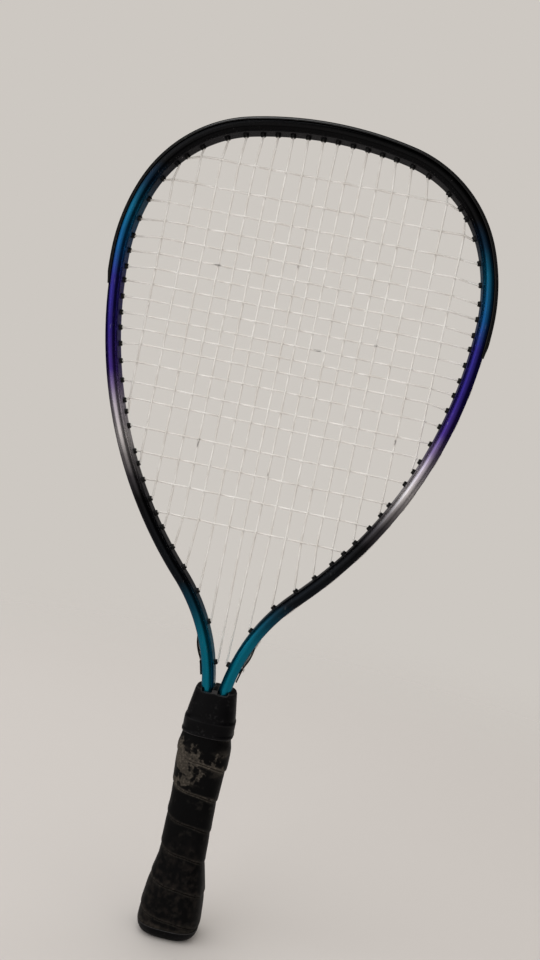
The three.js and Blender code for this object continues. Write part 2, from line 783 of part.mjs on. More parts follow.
function screwBore(height) {
  const seat = screwHeadTop - screwHeadThickness - fitGap;
  const shank = pinBetween(shankRadius + fitGap, -screwTip - fitGap, seat + fitGap);
  const recess = pinBetween(screwHeadRadius + fitGap, seat, cutReach);
  return solid(alongY(shank, 0, height)).add(solid(alongY(recess, 0, height)));
}

const skirtRadius = gripRadiusAt(skirtTopHeight) - wrapThickness - radialGap;
const tackSeatAt = skirtRadius - tackSink - tackHeadThickness;

function makeTack(side) {
  const tip = tackSeatAt + tackHeadThickness - tackLength;
  const tack = turnedPin([
    [0, tip],
    [tackShankRadius, tip],
    [tackShankRadius, tackSeatAt],
    [tackHeadRadius, tackSeatAt],
    [tackHeadRadius, tackSeatAt + tackHeadThickness],
    [0, tackSeatAt + tackHeadThickness],
  ]);
  return alongX(tack, side, tackOffset, tackHeight);
}

function tackBore(side) {
  const tip = tackSeatAt + tackHeadThickness - tackLength;
  const place = (pin) => solid(alongX(pin, side, tackOffset, tackHeight));
  const shank = place(pinBetween(tackShankRadius + fitGap, tip - fitGap, cutReach));
  return shank.add(place(pinBetween(tackHeadRadius + fitGap, tackSeatAt - fitGap, cutReach)));
}

// The space that one shaft takes up in the handle and the collar, with its clearance.
function shaftEnvelope(side) {
  const outline = mirrored([...tubeCorner(-1, fitGap).reverse(), ...tubeCorner(1, fitGap)]);
  const stations = stationsBetween(alongAtHeight(collarTopHeight + cutOverrun), totalLength);
  const points = stations.map((item) => beside(side * item.along, 0));
  const tangents = stations.map((item) => station(side * item.along).tangent.multiplyScalar(side));
  points.push(points.at(-1).clone().add(new THREE.Vector3(0, 0, -fitGap)));
  tangents.push(tangents.at(-1));
  return solid(sweep(outline, points, tangents));
}

function makePallets() {
  const plugBottom = buttFloor + fitGap;
  const plugTop = skirtTopHeight + fitGap;
  const plugRadius = skirtRadius - skirtThickness - radialGap;
  let pallets = handleSolid([
    [0, plugBottom],
    [plugRadius, plugBottom],
    [plugRadius, plugTop],
    ...handleOutline(plugTop, palletTopHeight, wrapInset),
    [0, palletTopHeight],
  ]);
  const pocketDepth = (plugRadius - skirtThickness) * handleFlatness;
  const pocketTop = shaftEndHeight - pocketDrop;
  for (const side of [-1, 1]) {
    const [low, high] = [side * pocketInner, side * pocketOuter].sort((a, b) => a - b);
    const pocket = block([low, -pocketDepth, -cutOverrun], [high, pocketDepth, pocketTop]);
    pallets = pallets.subtract(solid(pocket)).subtract(shaftEnvelope(side));
    pallets = pallets.subtract(rivetBore(side)).subtract(tackBore(side));
  }
  return pallets.subtract(screwBore(lowerScrewHeight)).subtract(screwBore(upperScrewHeight));
}

// One half of the pallets, on the side of the split that a sign gives.
function palletHalf(pallets, side) {
  const [low, high] = [(side * fitGap) / 2, side * cutReach].sort((a, b) => a - b);
  return pallets.intersect(solid(block([-cutReach, low, 0], [cutReach, high, collarTopHeight])));
}

function makeButtCap() {
  const outline = [[0, 0]];
  for (let step = 0; step <= profileSteps; step += 1) {
    const angle = ((Math.PI / 2) * step) / profileSteps;
    const radius = buttFlatRadius + (buttRadius - buttFlatRadius) * Math.sin(angle);
    outline.push([radius, buttRimHeight * (1 - Math.cos(angle))]);
  }
  let cap = handleSolid([
    ...outline,
    [skirtRadius, buttRimHeight],
    [skirtRadius, skirtTopHeight],
    [skirtRadius - skirtThickness, skirtTopHeight],
    [skirtRadius - skirtThickness, buttFloor],
    [0, buttFloor],
  ]);
  for (const side of [-1, 1]) {
    const hole = pinBetween(tetherHoleRadius, -cutOverrun, buttFloor + cutOverrun);
    cap = cap.subtract(solid(hole.translate(side * tetherHoleOffset, 0, 0))).subtract(tackBore(side));
  }
  return cap;
}

// A ring of tape round the top of the wrap, and the space inside the collar that clears it.
const tapeInner = -radialGap;
const tapeOuter = tapeInner - tapeThickness;
const tapeSpace = tapeOuter - radialGap;

function makeFinishingTape() {
  const outer = handleOutline(tapeBottomHeight, tapeTopHeight, tapeOuter);
  const inner = handleOutline(tapeBottomHeight, tapeTopHeight, tapeInner).reverse();
  return handleSolid(closed([...outer, ...inner]));
}

function makeCollar() {
  const topRadius = gripRadiusAt(wrapTopHeight);
  const spaceRadius = gripRadiusAt(tapeBottomHeight) - tapeSpace;
  const skirtOuter = spaceRadius + collarSkirt;
  const shelf = wrapTopHeight + fitGap;
  const roof = palletTopHeight + fitGap;
  const neckRadius = skirtOuter - collarStep;
  const capRadius = topRadius - collarTopInset;
  const collar = handleSolid([
    [0, roof],
    [topRadius - wrapThickness, roof],
    [topRadius - wrapThickness, shelf],
    [topRadius - tapeSpace, shelf],
    [spaceRadius, tapeBottomHeight],
    [spaceRadius, collarLipHeight],
    [skirtOuter, collarLipHeight],
    [skirtOuter + collarLip, collarLipHeight + collarRounding / 2],
    [skirtOuter, collarLipHeight + 2 * collarRounding],
    [skirtOuter, collarStepHeight - collarRounding],
    [neckRadius, collarStepHeight + collarRounding],
    [capRadius, collarTopHeight - 2 * collarRounding],
    [capRadius - collarRounding / 2, collarTopHeight - collarRounding / 2],
    [capRadius - 2 * collarRounding, collarTopHeight],
    [0, collarTopHeight],
  ]);
  return collar.subtract(shaftEnvelope(-1)).subtract(shaftEnvelope(1));
}

function makeHead() {
  const inBumper = (hole) => Math.abs(hole.along) < bumperReach;
  const onStrip = (side) => (hole) =>
    !inBumper(hole) && !isThroatHole(hole) && Math.sign(hole.along) === side;
  const head = new THREE.Group();
  head.add(
    piece("frame_tube", makeFrameTube(), "painted"),
    piece("bumper_guard", makeBumperGuard(holes.filter(inBumper)), "moulding"),
    piece("left_grommet_strip", makeSideStrip(-1, holes.filter(onStrip(-1))), "moulding"),
    piece("right_grommet_strip", makeSideStrip(1, holes.filter(onStrip(1))), "moulding"),
    piece("left_throat_grommet", makeThroatGrommet(-1), "moulding"),
    piece("right_throat_grommet", makeThroatGrommet(1), "moulding"),
  );
  return head;
}

function makeStringBed() {
  const bed = new THREE.Group();
  const runs = { main_string: mainStringPoints(), cross_string: crossStringPoints() };
  for (const [name, points] of Object.entries(runs)) {
    const { gap, length } = leastStringGap(points);
    console.log(`${name}: least gap to itself ${gap.toFixed(2)} mm, length ${length.toFixed(0)} mm`);
    bed.add(piece(name, makeString(points), "nylon"));
  }
  return bed;
}

function makeHandle() {
  const pallets = makePallets();
  const handle = new THREE.Group();
  handle.add(
    piece("front_pallet", palletHalf(pallets, -1), "core"),
    piece("rear_pallet", palletHalf(pallets, 1), "core"),
    piece("butt_cap", makeButtCap(), "rubber"),
    piece("grip_wrap", makeGripWrap(), "wrap"),
    piece("finishing_tape", makeFinishingTape(), "tape"),
    piece("collar", makeCollar(), "rubber"),
    piece("left_shaft_rivet", makeRivet(-1), "steel"),
    piece("right_shaft_rivet", makeRivet(1), "steel"),
    piece("left_butt_tack", makeTack(-1), "steel"),
    piece("right_butt_tack", makeTack(1), "steel"),
    piece("lower_pallet_screw", makeScrew(lowerScrewHeight), "steel"),
    piece("upper_pallet_screw", makeScrew(upperScrewHeight), "steel"),
  );
  console.log(`grip_wrap: least gap across its seam ${leastSeamGap().toFixed(2)} mm`);
  return handle;
}

const group = new THREE.Group();
group.add(makeHead(), makeStringBed(), makeHandle());
export default group;
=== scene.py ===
"""Racquetball racket standing on its butt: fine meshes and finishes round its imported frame.

Lengths are millimetres until a mesh, lamp or camera is placed, which is in metres. Angles that are
set are degrees. +Z runs from the butt to the tip of the head, +X across the head, and the hitting
face looks towards -Y.
"""

import logging
import math
from collections.abc import Sequence
from dataclasses import dataclass, field
from enum import Enum
from functools import cached_property
from itertools import pairwise

import bmesh
import bpy
from mathutils import Matrix, Vector, noise

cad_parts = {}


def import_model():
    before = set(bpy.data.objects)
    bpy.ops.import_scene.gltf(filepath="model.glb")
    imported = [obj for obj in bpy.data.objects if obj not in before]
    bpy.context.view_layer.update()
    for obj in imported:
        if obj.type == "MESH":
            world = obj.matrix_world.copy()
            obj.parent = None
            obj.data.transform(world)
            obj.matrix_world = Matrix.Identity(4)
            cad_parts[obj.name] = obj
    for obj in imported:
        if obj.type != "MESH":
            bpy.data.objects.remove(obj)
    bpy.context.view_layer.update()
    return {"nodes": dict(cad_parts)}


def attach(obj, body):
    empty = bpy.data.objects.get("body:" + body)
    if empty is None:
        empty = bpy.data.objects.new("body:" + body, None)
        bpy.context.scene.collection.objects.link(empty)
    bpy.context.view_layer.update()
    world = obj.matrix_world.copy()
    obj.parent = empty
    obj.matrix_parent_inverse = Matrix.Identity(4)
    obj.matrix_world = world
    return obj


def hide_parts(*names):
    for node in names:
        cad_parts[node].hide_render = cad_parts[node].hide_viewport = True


LOG = logging.getLogger("racket")
MM = 0.001
BODY = "root"
REAR = Vector((0, 1, 0))
UP = Vector((0, 0, 1))

Material = bpy.types.Material
Socket = bpy.types.NodeSocket
Colour = tuple[float, float, float, float]
Place = tuple[float, float, float]
Outline = list[tuple[float, float]]
Profile = tuple[tuple[float, float], ...]
Span = tuple[float, float]
Ring = list[Vector]


def srgb(red: int, green: int, blue: int) -> Colour:
    """A screen colour, 0 to 255 a channel, as the linear colour that a shader takes."""
    parts = [value / 255 for value in (red, green, blue)]
    linear = [c / 12.92 if c <= 0.04045 else ((c + 0.055) / 1.055) ** 2.4 for c in parts]
    return (*linear, 1.0)


def ease(share: float) -> float:
    """A share from 0 to 1 that starts and ends gently."""
    share = min(max(share, 0.0), 1.0)
    return share * share * (3 - 2 * share)


class Side(Enum):
    """The two halves of the racket, by their sign along X, and the two ends of a cross string."""

    LEFT = -1
    RIGHT = 1

    def named(self, what: str) -> str:
        """The node's name for this side's copy of a piece."""
        return f"{self.name.lower()}_{what}"


class End(Enum):
    """The two ends of a main string."""

    TOP = "top"
    BOTTOM = "bottom"


# Meshes


@dataclass
class Shape:
    """Points and faces of closed surfaces, in millimetres."""

    points: list[Vector] = field(default_factory=list)
    faces: list[tuple[int, ...]] = field(default_factory=list)

    def add(self, other: "Shape") -> None:
        """Adds another shape's surfaces to this one."""
        first = len(self.points)
        self.points.extend(other.points)
        self.faces.extend(tuple(first + corner for corner in face) for face in other.faces)

    def mesh(self, name: str) -> bpy.types.Mesh:
        """The shape as a Blender mesh in metres, with its faces pointing out.

        Args:
            name: the mesh's name.

        Returns:
            The mesh.
        """
        made = bpy.data.meshes.new(name)
        made.from_pydata([point * MM for point in self.points], [], self.faces)
        work = bmesh.new()
        work.from_mesh(made)
        bmesh.ops.recalc_face_normals(work, faces=work.faces)
        work.to_mesh(made)
        work.free()
        return made


def loft(rings: Sequence[Ring], closed: bool = False) -> Shape:
    """Joins rings of equally many points into a closed surface.

    Args:
        rings: the rings, in order.
        closed: whether the last ring joins the first; if not, both ends are capped.

    Returns:
        The surface.
    """
    size = len(rings[0])
    shape = Shape([point for ring in rings for point in ring])
    order = list(range(len(rings))) + ([0] if closed else [])
    for low, high in pairwise(order):
        for i in range(size):
            j = (i + 1) % size
            shape.faces.append((low * size + i, low * size + j, high * size + j, high * size + i))
    if not closed:
        last = (len(rings) - 1) * size
        shape.faces.append(tuple(range(size - 1, -1, -1)))
        shape.faces.append(tuple(range(last, last + size)))
    return shape


def soften(points: Sequence[Vector], reach: float, steps: int = 4, closed: bool = False) -> Ring:
    """Rounds the corners of a line of points.

    Args:
        points: the corners, in the plane or in space.
        reach: how far from a corner its rounding starts, less where a neighbour is close.
        steps: points on each rounding, less one.
        closed: whether the line is a loop.

    Returns:
        The rounded line.
    """
    count = len(points)
    made: Ring = []
    for i, corner in enumerate(points):
        if not closed and i in (0, count - 1):
            made.append(corner.copy())
            continue
        before, after = points[i - 1], points[(i + 1) % count]
        back, ahead = before - corner, after - corner
        start = corner + back.normalized() * min(reach, back.length / 2)
        end = corner + ahead.normalized() * min(reach, ahead.length / 2)
        for step in range(steps + 1):
            share = step / steps
            made.append(start.lerp(corner, share).lerp(corner.lerp(end, share), share))
    return made


def round_tube(points: Sequence[Vector], radius: float, sides: int) -> Shape:
    """A round tube along a line of points, turned as little as the line allows.

    Args:
        points: the line.
        radius: the tube's radius.
        sides: how many facets go round.

    Returns:
        The tube.
    """
    rings: list[Ring] = []
    tangent = (points[1] - points[0]).normalized()
    across = tangent.orthogonal().normalized()
    for i, point in enumerate(points):
        ahead = points[min(i + 1, len(points) - 1)] - points[max(i - 1, 0)]
        across = (tangent.rotation_difference(ahead.normalized())) @ across
        tangent = ahead.normalized()
        up = tangent.cross(across)
        angles = [math.tau * side / sides for side in range(sides)]
        rings.append([point + (across * math.cos(a) + up * math.sin(a)) * radius for a in angles])
    return loft(rings)


def turned(outline: Outline, origin: Vector, axis: Vector, sides: int) -> Shape:
    """A hollow turned shape round an axis.

    Args:
        outline: radii and distances along the axis, closed on itself.
        origin: where the axis starts.
        axis: its direction.
        sides: how many facets go round.

    Returns:
        The shape.
    """
    across = axis.orthogonal().normalized()
    up = axis.cross(across)
    rings: list[Ring] = []
    for side in range(sides):
        angle = math.tau * side / sides
        out = across * math.cos(angle) + up * math.sin(angle)
        rings.append([origin + out * radius + axis * height for radius, height in outline])
    return loft(rings, closed=True)


def block(low: Vector, high: Vector) -> Shape:
    """A box between two corners, for cutting."""
    flat = [(low.x, low.y), (high.x, low.y), (high.x, high.y), (low.x, high.y)]
    return loft([[Vector((x, y, z)) for x, y in flat] for z in (low.z, high.z)])


def linked(name: str, data: bpy.types.ID) -> bpy.types.Object:
    """A new object of the scene with that mesh, lamp or camera."""
    made = bpy.data.objects.new(name, data)
    bpy.context.scene.collection.objects.link(made)
    return made


class Cut(Enum):
    """What a cutter does to a piece."""

    REMOVE = "DIFFERENCE"
    KEEP = "INTERSECT"


@dataclass
class Piece:
    """A named object of the racket, which rides on its body and stands for its node."""

    name: str
    shape: Shape
    slot: str
    sharp_angle: float = 32.0
    object: bpy.types.Object = field(init=False)

    def __post_init__(self) -> None:
        """Links the shape's mesh into the scene."""
        self.object = linked(self.name, self.shape.mesh(self.name))

    def cut(self, cutter: Shape, cut: Cut = Cut.REMOVE) -> None:
        """Cuts the piece with another closed shape.

        Args:
            cutter: the shape to cut with.
            cut: whether its space is removed or kept.
        """
        tool = linked("cutter", cutter.mesh("cutter"))
        modifier = self.object.modifiers.new("cut", "BOOLEAN")
        modifier.operation = cut.value
        modifier.solver = "MANIFOLD"
        modifier.object = tool
        graph = bpy.context.evaluated_depsgraph_get()
        made = bpy.data.meshes.new_from_object(self.object.evaluated_get(graph))
        self.object.modifiers.clear()
        self.object.data = made
        made.name = self.name
        bpy.data.objects.remove(tool)

    def finish(self, material: Material, *nodes: str) -> None:
        """Smooths and dresses the piece, and ties it to the frame.

        Args:
            material: its finish.
            nodes: the nodes of the frame that it stands for.
        """
        work = bmesh.new()
        work.from_mesh(self.object.data)
        limit = math.radians(self.sharp_angle)
        for face in work.faces:
            face.smooth = True
        for edge in work.edges:
            edge.smooth = len(edge.link_faces) == 2 and edge.calc_face_angle() < limit
        work.to_mesh(self.object.data)
        work.free()
        self.object.data.materials.clear()
        self.object.data.materials.append(material)
        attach(self.object, BODY)
        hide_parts(*nodes)
        LOG.info("%s: %d faces", self.name, len(self.object.data.polygons))


# Finishes


@dataclass(frozen=True)
class Signal:
    """A number that varies over a surface. Each operation on it adds a Math node."""

    nodes: "Nodes"
    socket: Socket

    def _math(self, operation: str, *values: "Signal | float") -> "Signal":
        """The result of one Math node."""
        made = self.nodes.node("ShaderNodeMath", {"operation": operation}, dict(enumerate(values)))
        return Signal(self.nodes, made.outputs[0])

    def __add__(self, other: "Signal | float") -> "Signal":
        """The sum."""
        return self._math("ADD", self, other)

    __radd__ = __add__

    def __mul__(self, other: "Signal | float") -> "Signal":
        """The product."""
        return self._math("MULTIPLY", self, other)

    __rmul__ = __mul__

    def __sub__(self, other: "Signal | float") -> "Signal":
        """This less the other."""
        return self._math("SUBTRACT", self, other)

    def __rsub__(self, other: "Signal | float") -> "Signal":
        """The other less this."""
        return self._math("SUBTRACT", other, self)

    def __truediv__(self, other: "Signal | float") -> "Signal":
        """The quotient."""
        return self._math("DIVIDE", self, other)

    def __pow__(self, power: float) -> "Signal":
        """The power."""
        return self._math("POWER", self, power)

    def size(self) -> "Signal":
        """The number without its sign."""
        return self._math("ABSOLUTE", self)

    def step(self, low: float, high: float) -> "Signal":
        """Rises smoothly from 0 at low to 1 at high, which may be the smaller of the two.

        Args:
            low: where the result is 0.
            high: where it is 1.

        Returns:
            The step.
        """
        settings = {"interpolation_type": "SMOOTHSTEP"}
        values = {"Value": self, "From Min": low, "From Max": high}
        if low > high:
            return 1 - self.step(high, low)
        made = self.nodes.node("ShaderNodeMapRange", settings, values)
        return Signal(self.nodes, made.outputs[0])


@dataclass
class Nodes:
    """The nodes of a material or of the world."""

    tree: bpy.types.NodeTree

    def __post_init__(self) -> None:
        """Clears the tree."""
        self.tree.nodes.clear()

    def node(
        self, kind: str, settings: dict | None = None, inputs: dict | None = None
    ) -> bpy.types.Node:
        """Adds a node.

        Args:
            kind: its Blender type.
            settings: its properties, and a ramp's stops, which are set first.
            inputs: the values or links of its sockets, by name, identifier or number.

        Returns:
            The node.
        """
        made = self.tree.nodes.new(kind)
        for key, value in (settings or {}).items():
            if key == "stops":
                self._set_stops(made.color_ramp, value)
            else:
                setattr(made, key, value)
        for key, value in (inputs or {}).items():
            sockets = enumerate(made.inputs)
            self.plug(next(s for i, s in sockets if key in (i, s.identifier, s.name)), value)
        return made

    @staticmethod
    def _set_stops(ramp: bpy.types.ColorRamp, stops: Sequence[tuple[float, Colour]]) -> None:
        """Gives a ramp its stops.

        Args:
            ramp: the ramp.
            stops: places from 0 to 1, each with its colour.
        """
        first, last = ramp.elements
        (first.position, first.color), (last.position, last.color) = stops[0], stops[-1]
        for place, colour in stops[1:-1]:
            ramp.elements.new(place).color = colour

    def plug(self, socket: Socket, value: object) -> None:
        """Sets or links a socket.

        Args:
            socket: the input socket.
            value: a constant, or the socket or signal that drives it.
        """
        source = value.socket if isinstance(value, Signal) else value
        if isinstance(source, Socket):
            self.tree.links.new(source, socket)
        else:
            socket.default_value = source


@dataclass(frozen=True)
class Pattern:
    """A cloudy pattern, from about 0.25 to 0.75 unless it has limits.

    The grain is the size of its clouds in millimetres, the detail how many finer layers it has, and
    the stretch how much longer its clouds are along each axis. The shift tells it from another of
    the same grain. Between its limits it rises from 0 to 1.
    """

    grain: float
    detail: float = 3.0
    stretch: Place = (1.0, 1.0, 1.0)
    shift: float = 0.0
    limits: Span | None = None


class Shader(Nodes):
    """A material's nodes round one Principled shader."""

    def __init__(self, name: str, **constants: float | Colour) -> None:
        """Starts a material.

        Args:
            name: the material's name.
            constants: values set on the shader's own sockets, underscores standing for spaces.
        """
        self.material = bpy.data.materials.new(name)
        self.material.use_nodes = True
        super().__init__(self.material.node_tree)
        sockets = {key.replace("_", " "): value for key, value in constants.items()}
        self.surface = self.node("ShaderNodeBsdfPrincipled", inputs=sockets)
        self.node("ShaderNodeOutputMaterial", inputs={"Surface": self.surface.outputs[0]})

    def feed(self, name: str, value: object) -> None:
        """Sets or links one of the surface's own sockets."""
        self.plug(self.surface.inputs[name], value)

    @cached_property
    def coordinates(self) -> Socket:
        """A place on the racket, in metres."""
        return self.node("ShaderNodeTexCoord").outputs["Object"]

    @cached_property
    def geometry(self) -> bpy.types.Node:
        """The surface's own directions and edges."""
        return self.node("ShaderNodeNewGeometry")

    @cached_property
    def pointiness(self) -> Signal:
        """About 0.5 on a flat surface, more where it stands proud and less where it is sunk."""
        return Signal(self, self.geometry.outputs["Pointiness"])

    @cached_property
    def place(self) -> tuple[Signal, Signal, Signal]:
        """A place on the racket along X, Y and Z, in millimetres."""
        inputs = {"Vector": self.coordinates, "Scale": 1 / MM}
        scaled = self.node("ShaderNodeVectorMath", {"operation": "SCALE"}, inputs)
        parts = self.node("ShaderNodeSeparateXYZ", inputs={"Vector": scaled.outputs[0]})
        x, y, z = (Signal(self, output) for output in parts.outputs)
        return x, y, z

    def cloud(self, pattern: Pattern) -> Signal:
        """A pattern's value at each place.

        Args:
            pattern: the pattern.

        Returns:
            Its value.
        """
        scale = tuple(1 / (pattern.grain * MM * longer) for longer in pattern.stretch)
        inputs = {0: self.coordinates, 1: scale, 2: (pattern.shift,) * len(scale)}
        moved = self.node("ShaderNodeVectorMath", {"operation": "MULTIPLY_ADD"}, inputs)
        inputs = {"Vector": moved.outputs[0], "Scale": 1.0, "Detail": pattern.detail}
        value = Signal(self, self.node("ShaderNodeTexNoise", inputs=inputs).outputs[0])
        return value.step(*pattern.limits) if pattern.limits else value

    def mix(self, share: Signal, first: Colour | Socket, second: Colour | Socket) -> Socket:
        """Blends two colours.

        Args:
            share: how much of the second shows.
            first: the colour at 0.
            second: the colour at 1.

        Returns:
            The blended colour.
        """
        inputs = {"Factor_Float": share, "A_Color": first, "B_Color": second}
        made = self.node("ShaderNodeMix", {"data_type": "RGBA"}, inputs)
        return next(output for output in made.outputs if output.identifier == "Result_Color")

    def ramp(self, share: Signal, stops: Sequence[tuple[float, Colour]]) -> Socket:
        """The colour of a ramp at a share."""
        return self.node("ShaderNodeValToRGB", {"stops": stops}, {"Fac": share}).outputs["Color"]

    def bump(self, height: Signal, depth: float) -> None:
        """Roughens the surface.

        Args:
            height: the relief, from 0 to 1.
            depth: how high 1 stands, in millimetres.
        """
        inputs = {"Strength": 1.0, "Distance": depth * MM, "Height": height}
        self.feed("Normal", self.node("ShaderNodeBump", inputs=inputs).outputs[0])


@dataclass(frozen=True)
class FramePaint:
    """Gloss metallic paint that fades along the tube, with chips, fine scratches and a dark grey
    painted shade on its side walls round the head.
    """

    bands: tuple[tuple[float, Colour], ...] = (
        (167.0, srgb(0, 108, 132)), (205.0, srgb(0, 100, 124)), (222.0, srgb(2, 58, 78)),
        (238.0, srgb(8, 14, 20)), (286.0, srgb(12, 12, 14)), (300.0, srgb(58, 56, 60)),
        (312.0, srgb(124, 121, 124)), (326.0, srgb(200, 197, 200)), (344.0, srgb(182, 175, 190)),
        (356.0, srgb(122, 106, 150)), (368.0, srgb(62, 42, 122)), (393.0, srgb(40, 28, 112)),
        (427.0, srgb(36, 32, 116)), (446.0, srgb(8, 70, 122)), (474.0, srgb(4, 82, 112)),
        (492.0, srgb(6, 36, 58)), (507.0, srgb(7, 8, 10)), (553.0, srgb(7, 7, 8)),
    )
    primer: Colour = srgb(176, 174, 178)
    edge_tint: Colour = (0.4, 0.4, 0.45, 1.0)
    # The dark grey mixed into the side walls round the head as painted shade.
    wall: Colour = srgb(42, 40, 44)
    wall_shade_facing: Span = (0.34, 0.08)
    wall_shade_band: Span = (225.0, 262.0)
    wall_shade_share: float = 0.3
    waver: Pattern = Pattern(14.0, 2.0)
    waver_reach: float = 5.0
    flakes: Pattern = Pattern(0.25, 1.0, limits=(0.5, 0.72))
    flake_share: float = 0.015
    streaks: Pattern = Pattern(0.5, 2.0, (1.0, 1.0, 16.0), 3.0, (0.66, 0.72))
    patches: Pattern = Pattern(22.0, 2.0, shift=7.0, limits=(0.55, 0.68))
    scratched_from: Span = (350.0, 360.0)
    scratched_to: Span = (400.0, 390.0)
    stray_share: float = 0.35
    chipped: Pattern = Pattern(1.1, 2.0, shift=11.0, limits=(0.75, 0.78))
    bare_share: float = 0.7
    dulled: Pattern = Pattern(9.0, 4.0, shift=5.0, limits=(0.4, 0.75))
    metallic: float = 0.96
    chip_metallic: float = 0.5
    wall_metallic: float = 0.55
    roughness: float = 0.25
    dull_roughness: float = 0.08
    scratch_roughness: float = 0.2
    coat: float = 0.12
    scratched_coat: float = 0.1
    grain: Pattern = Pattern(0.6, 2.0, shift=2.0)
    grain_share: float = 0.6
    depth: float = 0.015

    def fade(self, shader: Shader, height: Signal) -> Socket:
        """The paint's colour at each height, with wavering borders.

        Args:
            shader: the paint's shader.
            height: the height over the butt.

        Returns:
            The colour.
        """
        low, high = self.bands[0][0], self.bands[-1][0]
        waver = (shader.cloud(self.waver) - 0.5) * self.waver_reach
        stops = [((place - low) / (high - low), colour) for place, colour in self.bands]
        return shader.ramp((height + waver - low) / (high - low), stops)

    def material(self) -> Material:
        """Builds the paint."""
        constants = {"Coat_Roughness": 0.1, "Coat_IOR": 1.4, "Specular_Tint": self.edge_tint}
        shader = Shader("frame_paint", **constants)
        _, _, height = shader.place
        inputs = {"Vector": shader.geometry.outputs["Normal"]}
        facing = shader.node("ShaderNodeSeparateXYZ", inputs=inputs).outputs["Y"]
        # The side walls face neither front nor rear. They are made less metallic everywhere, and
        # round the head their colour is mixed towards the dark grey wall colour as painted shade.
        walls = Signal(shader, facing).size().step(*self.wall_shade_facing)
        shaded = walls * height.step(*self.wall_shade_band) * self.wall_shade_share
        paint = shader.mix(shaded, self.fade(shader, height), self.wall)
        flaked = shader.mix(shader.cloud(self.flakes) * self.flake_share, paint, self.primer)
        banded = height.step(*self.scratched_from) * height.step(*self.scratched_to)
        patches = shader.cloud(self.patches)
        spread = self.stray_share + (1 - self.stray_share) * banded
        scratches = shader.cloud(self.streaks) * patches * spread
        chips = shader.cloud(self.chipped) * patches
        bare = scratches * self.bare_share + chips * self.bare_share
        dull = shader.cloud(self.dulled)
        shader.feed("Base Color", shader.mix(bare, flaked, self.primer))
        metallic = self.metallic - self.chip_metallic * chips
        shader.feed("Metallic", metallic - self.wall_metallic * walls)
        roughness = self.roughness + self.dull_roughness * dull
        shader.feed("Roughness", roughness + self.scratch_roughness * scratches)
        shader.feed("Coat Weight", self.coat - self.scratched_coat * scratches)
        shader.bump((shader.cloud(self.grain) - scratches) * self.grain_share - chips, self.depth)
        return shader.material


@dataclass(frozen=True)
class GuardPlastic:
    """Black moulded nylon, satin, scuffed grey where it meets walls."""

    black: Colour = srgb(4, 4, 5)
    cloud: Colour = srgb(8, 8, 9)
    scuff: Colour = srgb(84, 83, 82)
    mottle: Pattern = Pattern(5.0, 4.0)
    mottle_limits: Span = (0.35, 0.7)
    grazes: Pattern = Pattern(0.7, 3.0, (9.0, 1.0, 3.0), 2.0, (0.58, 0.7))
    grazed: Pattern = Pattern(16.0, 2.0, shift=4.0, limits=(0.5, 0.66))
    grazed_heights: Span = (423.0, 483.0)
    scuff_share: float = 0.5
    roughness: float = 0.3
    mottle_roughness: float = 0.12
    scuff_roughness: float = 0.25
    grain: Pattern = Pattern(0.35, 2.0, shift=1.0)
    depth: float = 0.03

    def material(self) -> Material:
        """Builds the plastic."""
        shader = Shader("guard_plastic", IOR=1.5, Specular_IOR_Level=0.2)
        _, _, height = shader.place
        mottle = shader.cloud(self.mottle)
        where = shader.cloud(self.grazed) * height.step(*self.grazed_heights)
        scuffs = shader.cloud(self.grazes) * where
        base = shader.mix(mottle.step(*self.mottle_limits), self.black, self.cloud)
        shader.feed("Base Color", shader.mix(scuffs * self.scuff_share, base, self.scuff))
        roughness = self.roughness + self.mottle_roughness * mottle
        shader.feed("Roughness", roughness + self.scuff_roughness * scuffs)
        shader.bump(shader.cloud(self.grain) + scuffs, self.depth)
        return shader.material


@dataclass(frozen=True)
class StringNylon:
    """Clear cream nylon with a few dark smudges."""

    nylon: Colour = srgb(253, 252, 250)
    shade: Colour = srgb(238, 235, 231)
    smudge: Colour = srgb(44, 42, 42)
    clouds: Pattern = Pattern(11.0, 3.0)
    cloud_limits: Span = (0.35, 0.65)
    smudged: Pattern = Pattern(13.0, 1.0, shift=21.0, limits=(0.72, 0.75))
    speckle: Pattern = Pattern(1.2, 2.0, shift=9.0, limits=(0.38, 0.5))
    smudge_share: float = 0.7
    roughness: float = 0.1
    cloud_roughness: float = 0.1
    smudge_roughness: float = 0.3
    grain: Pattern = Pattern(0.5, 2.0, (1.0, 1.0, 3.0), 5.0)
    depth: float = 0.02

    def material(self) -> Material:
        """Builds the nylon."""
        shader = Shader("string_nylon", IOR=1.53, Transmission_Weight=0.3)
        clouds = shader.cloud(self.clouds)
        smudges = shader.cloud(self.smudged) * shader.cloud(self.speckle)
        base = shader.mix(clouds.step(*self.cloud_limits), self.nylon, self.shade)
        shader.feed("Base Color", shader.mix(smudges * self.smudge_share, base, self.smudge))
        roughness = self.roughness + self.cloud_roughness * clouds
        shader.feed("Roughness", roughness + self.smudge_roughness * smudges)
        shader.bump(shader.cloud(self.grain), self.depth)
        return shader.material


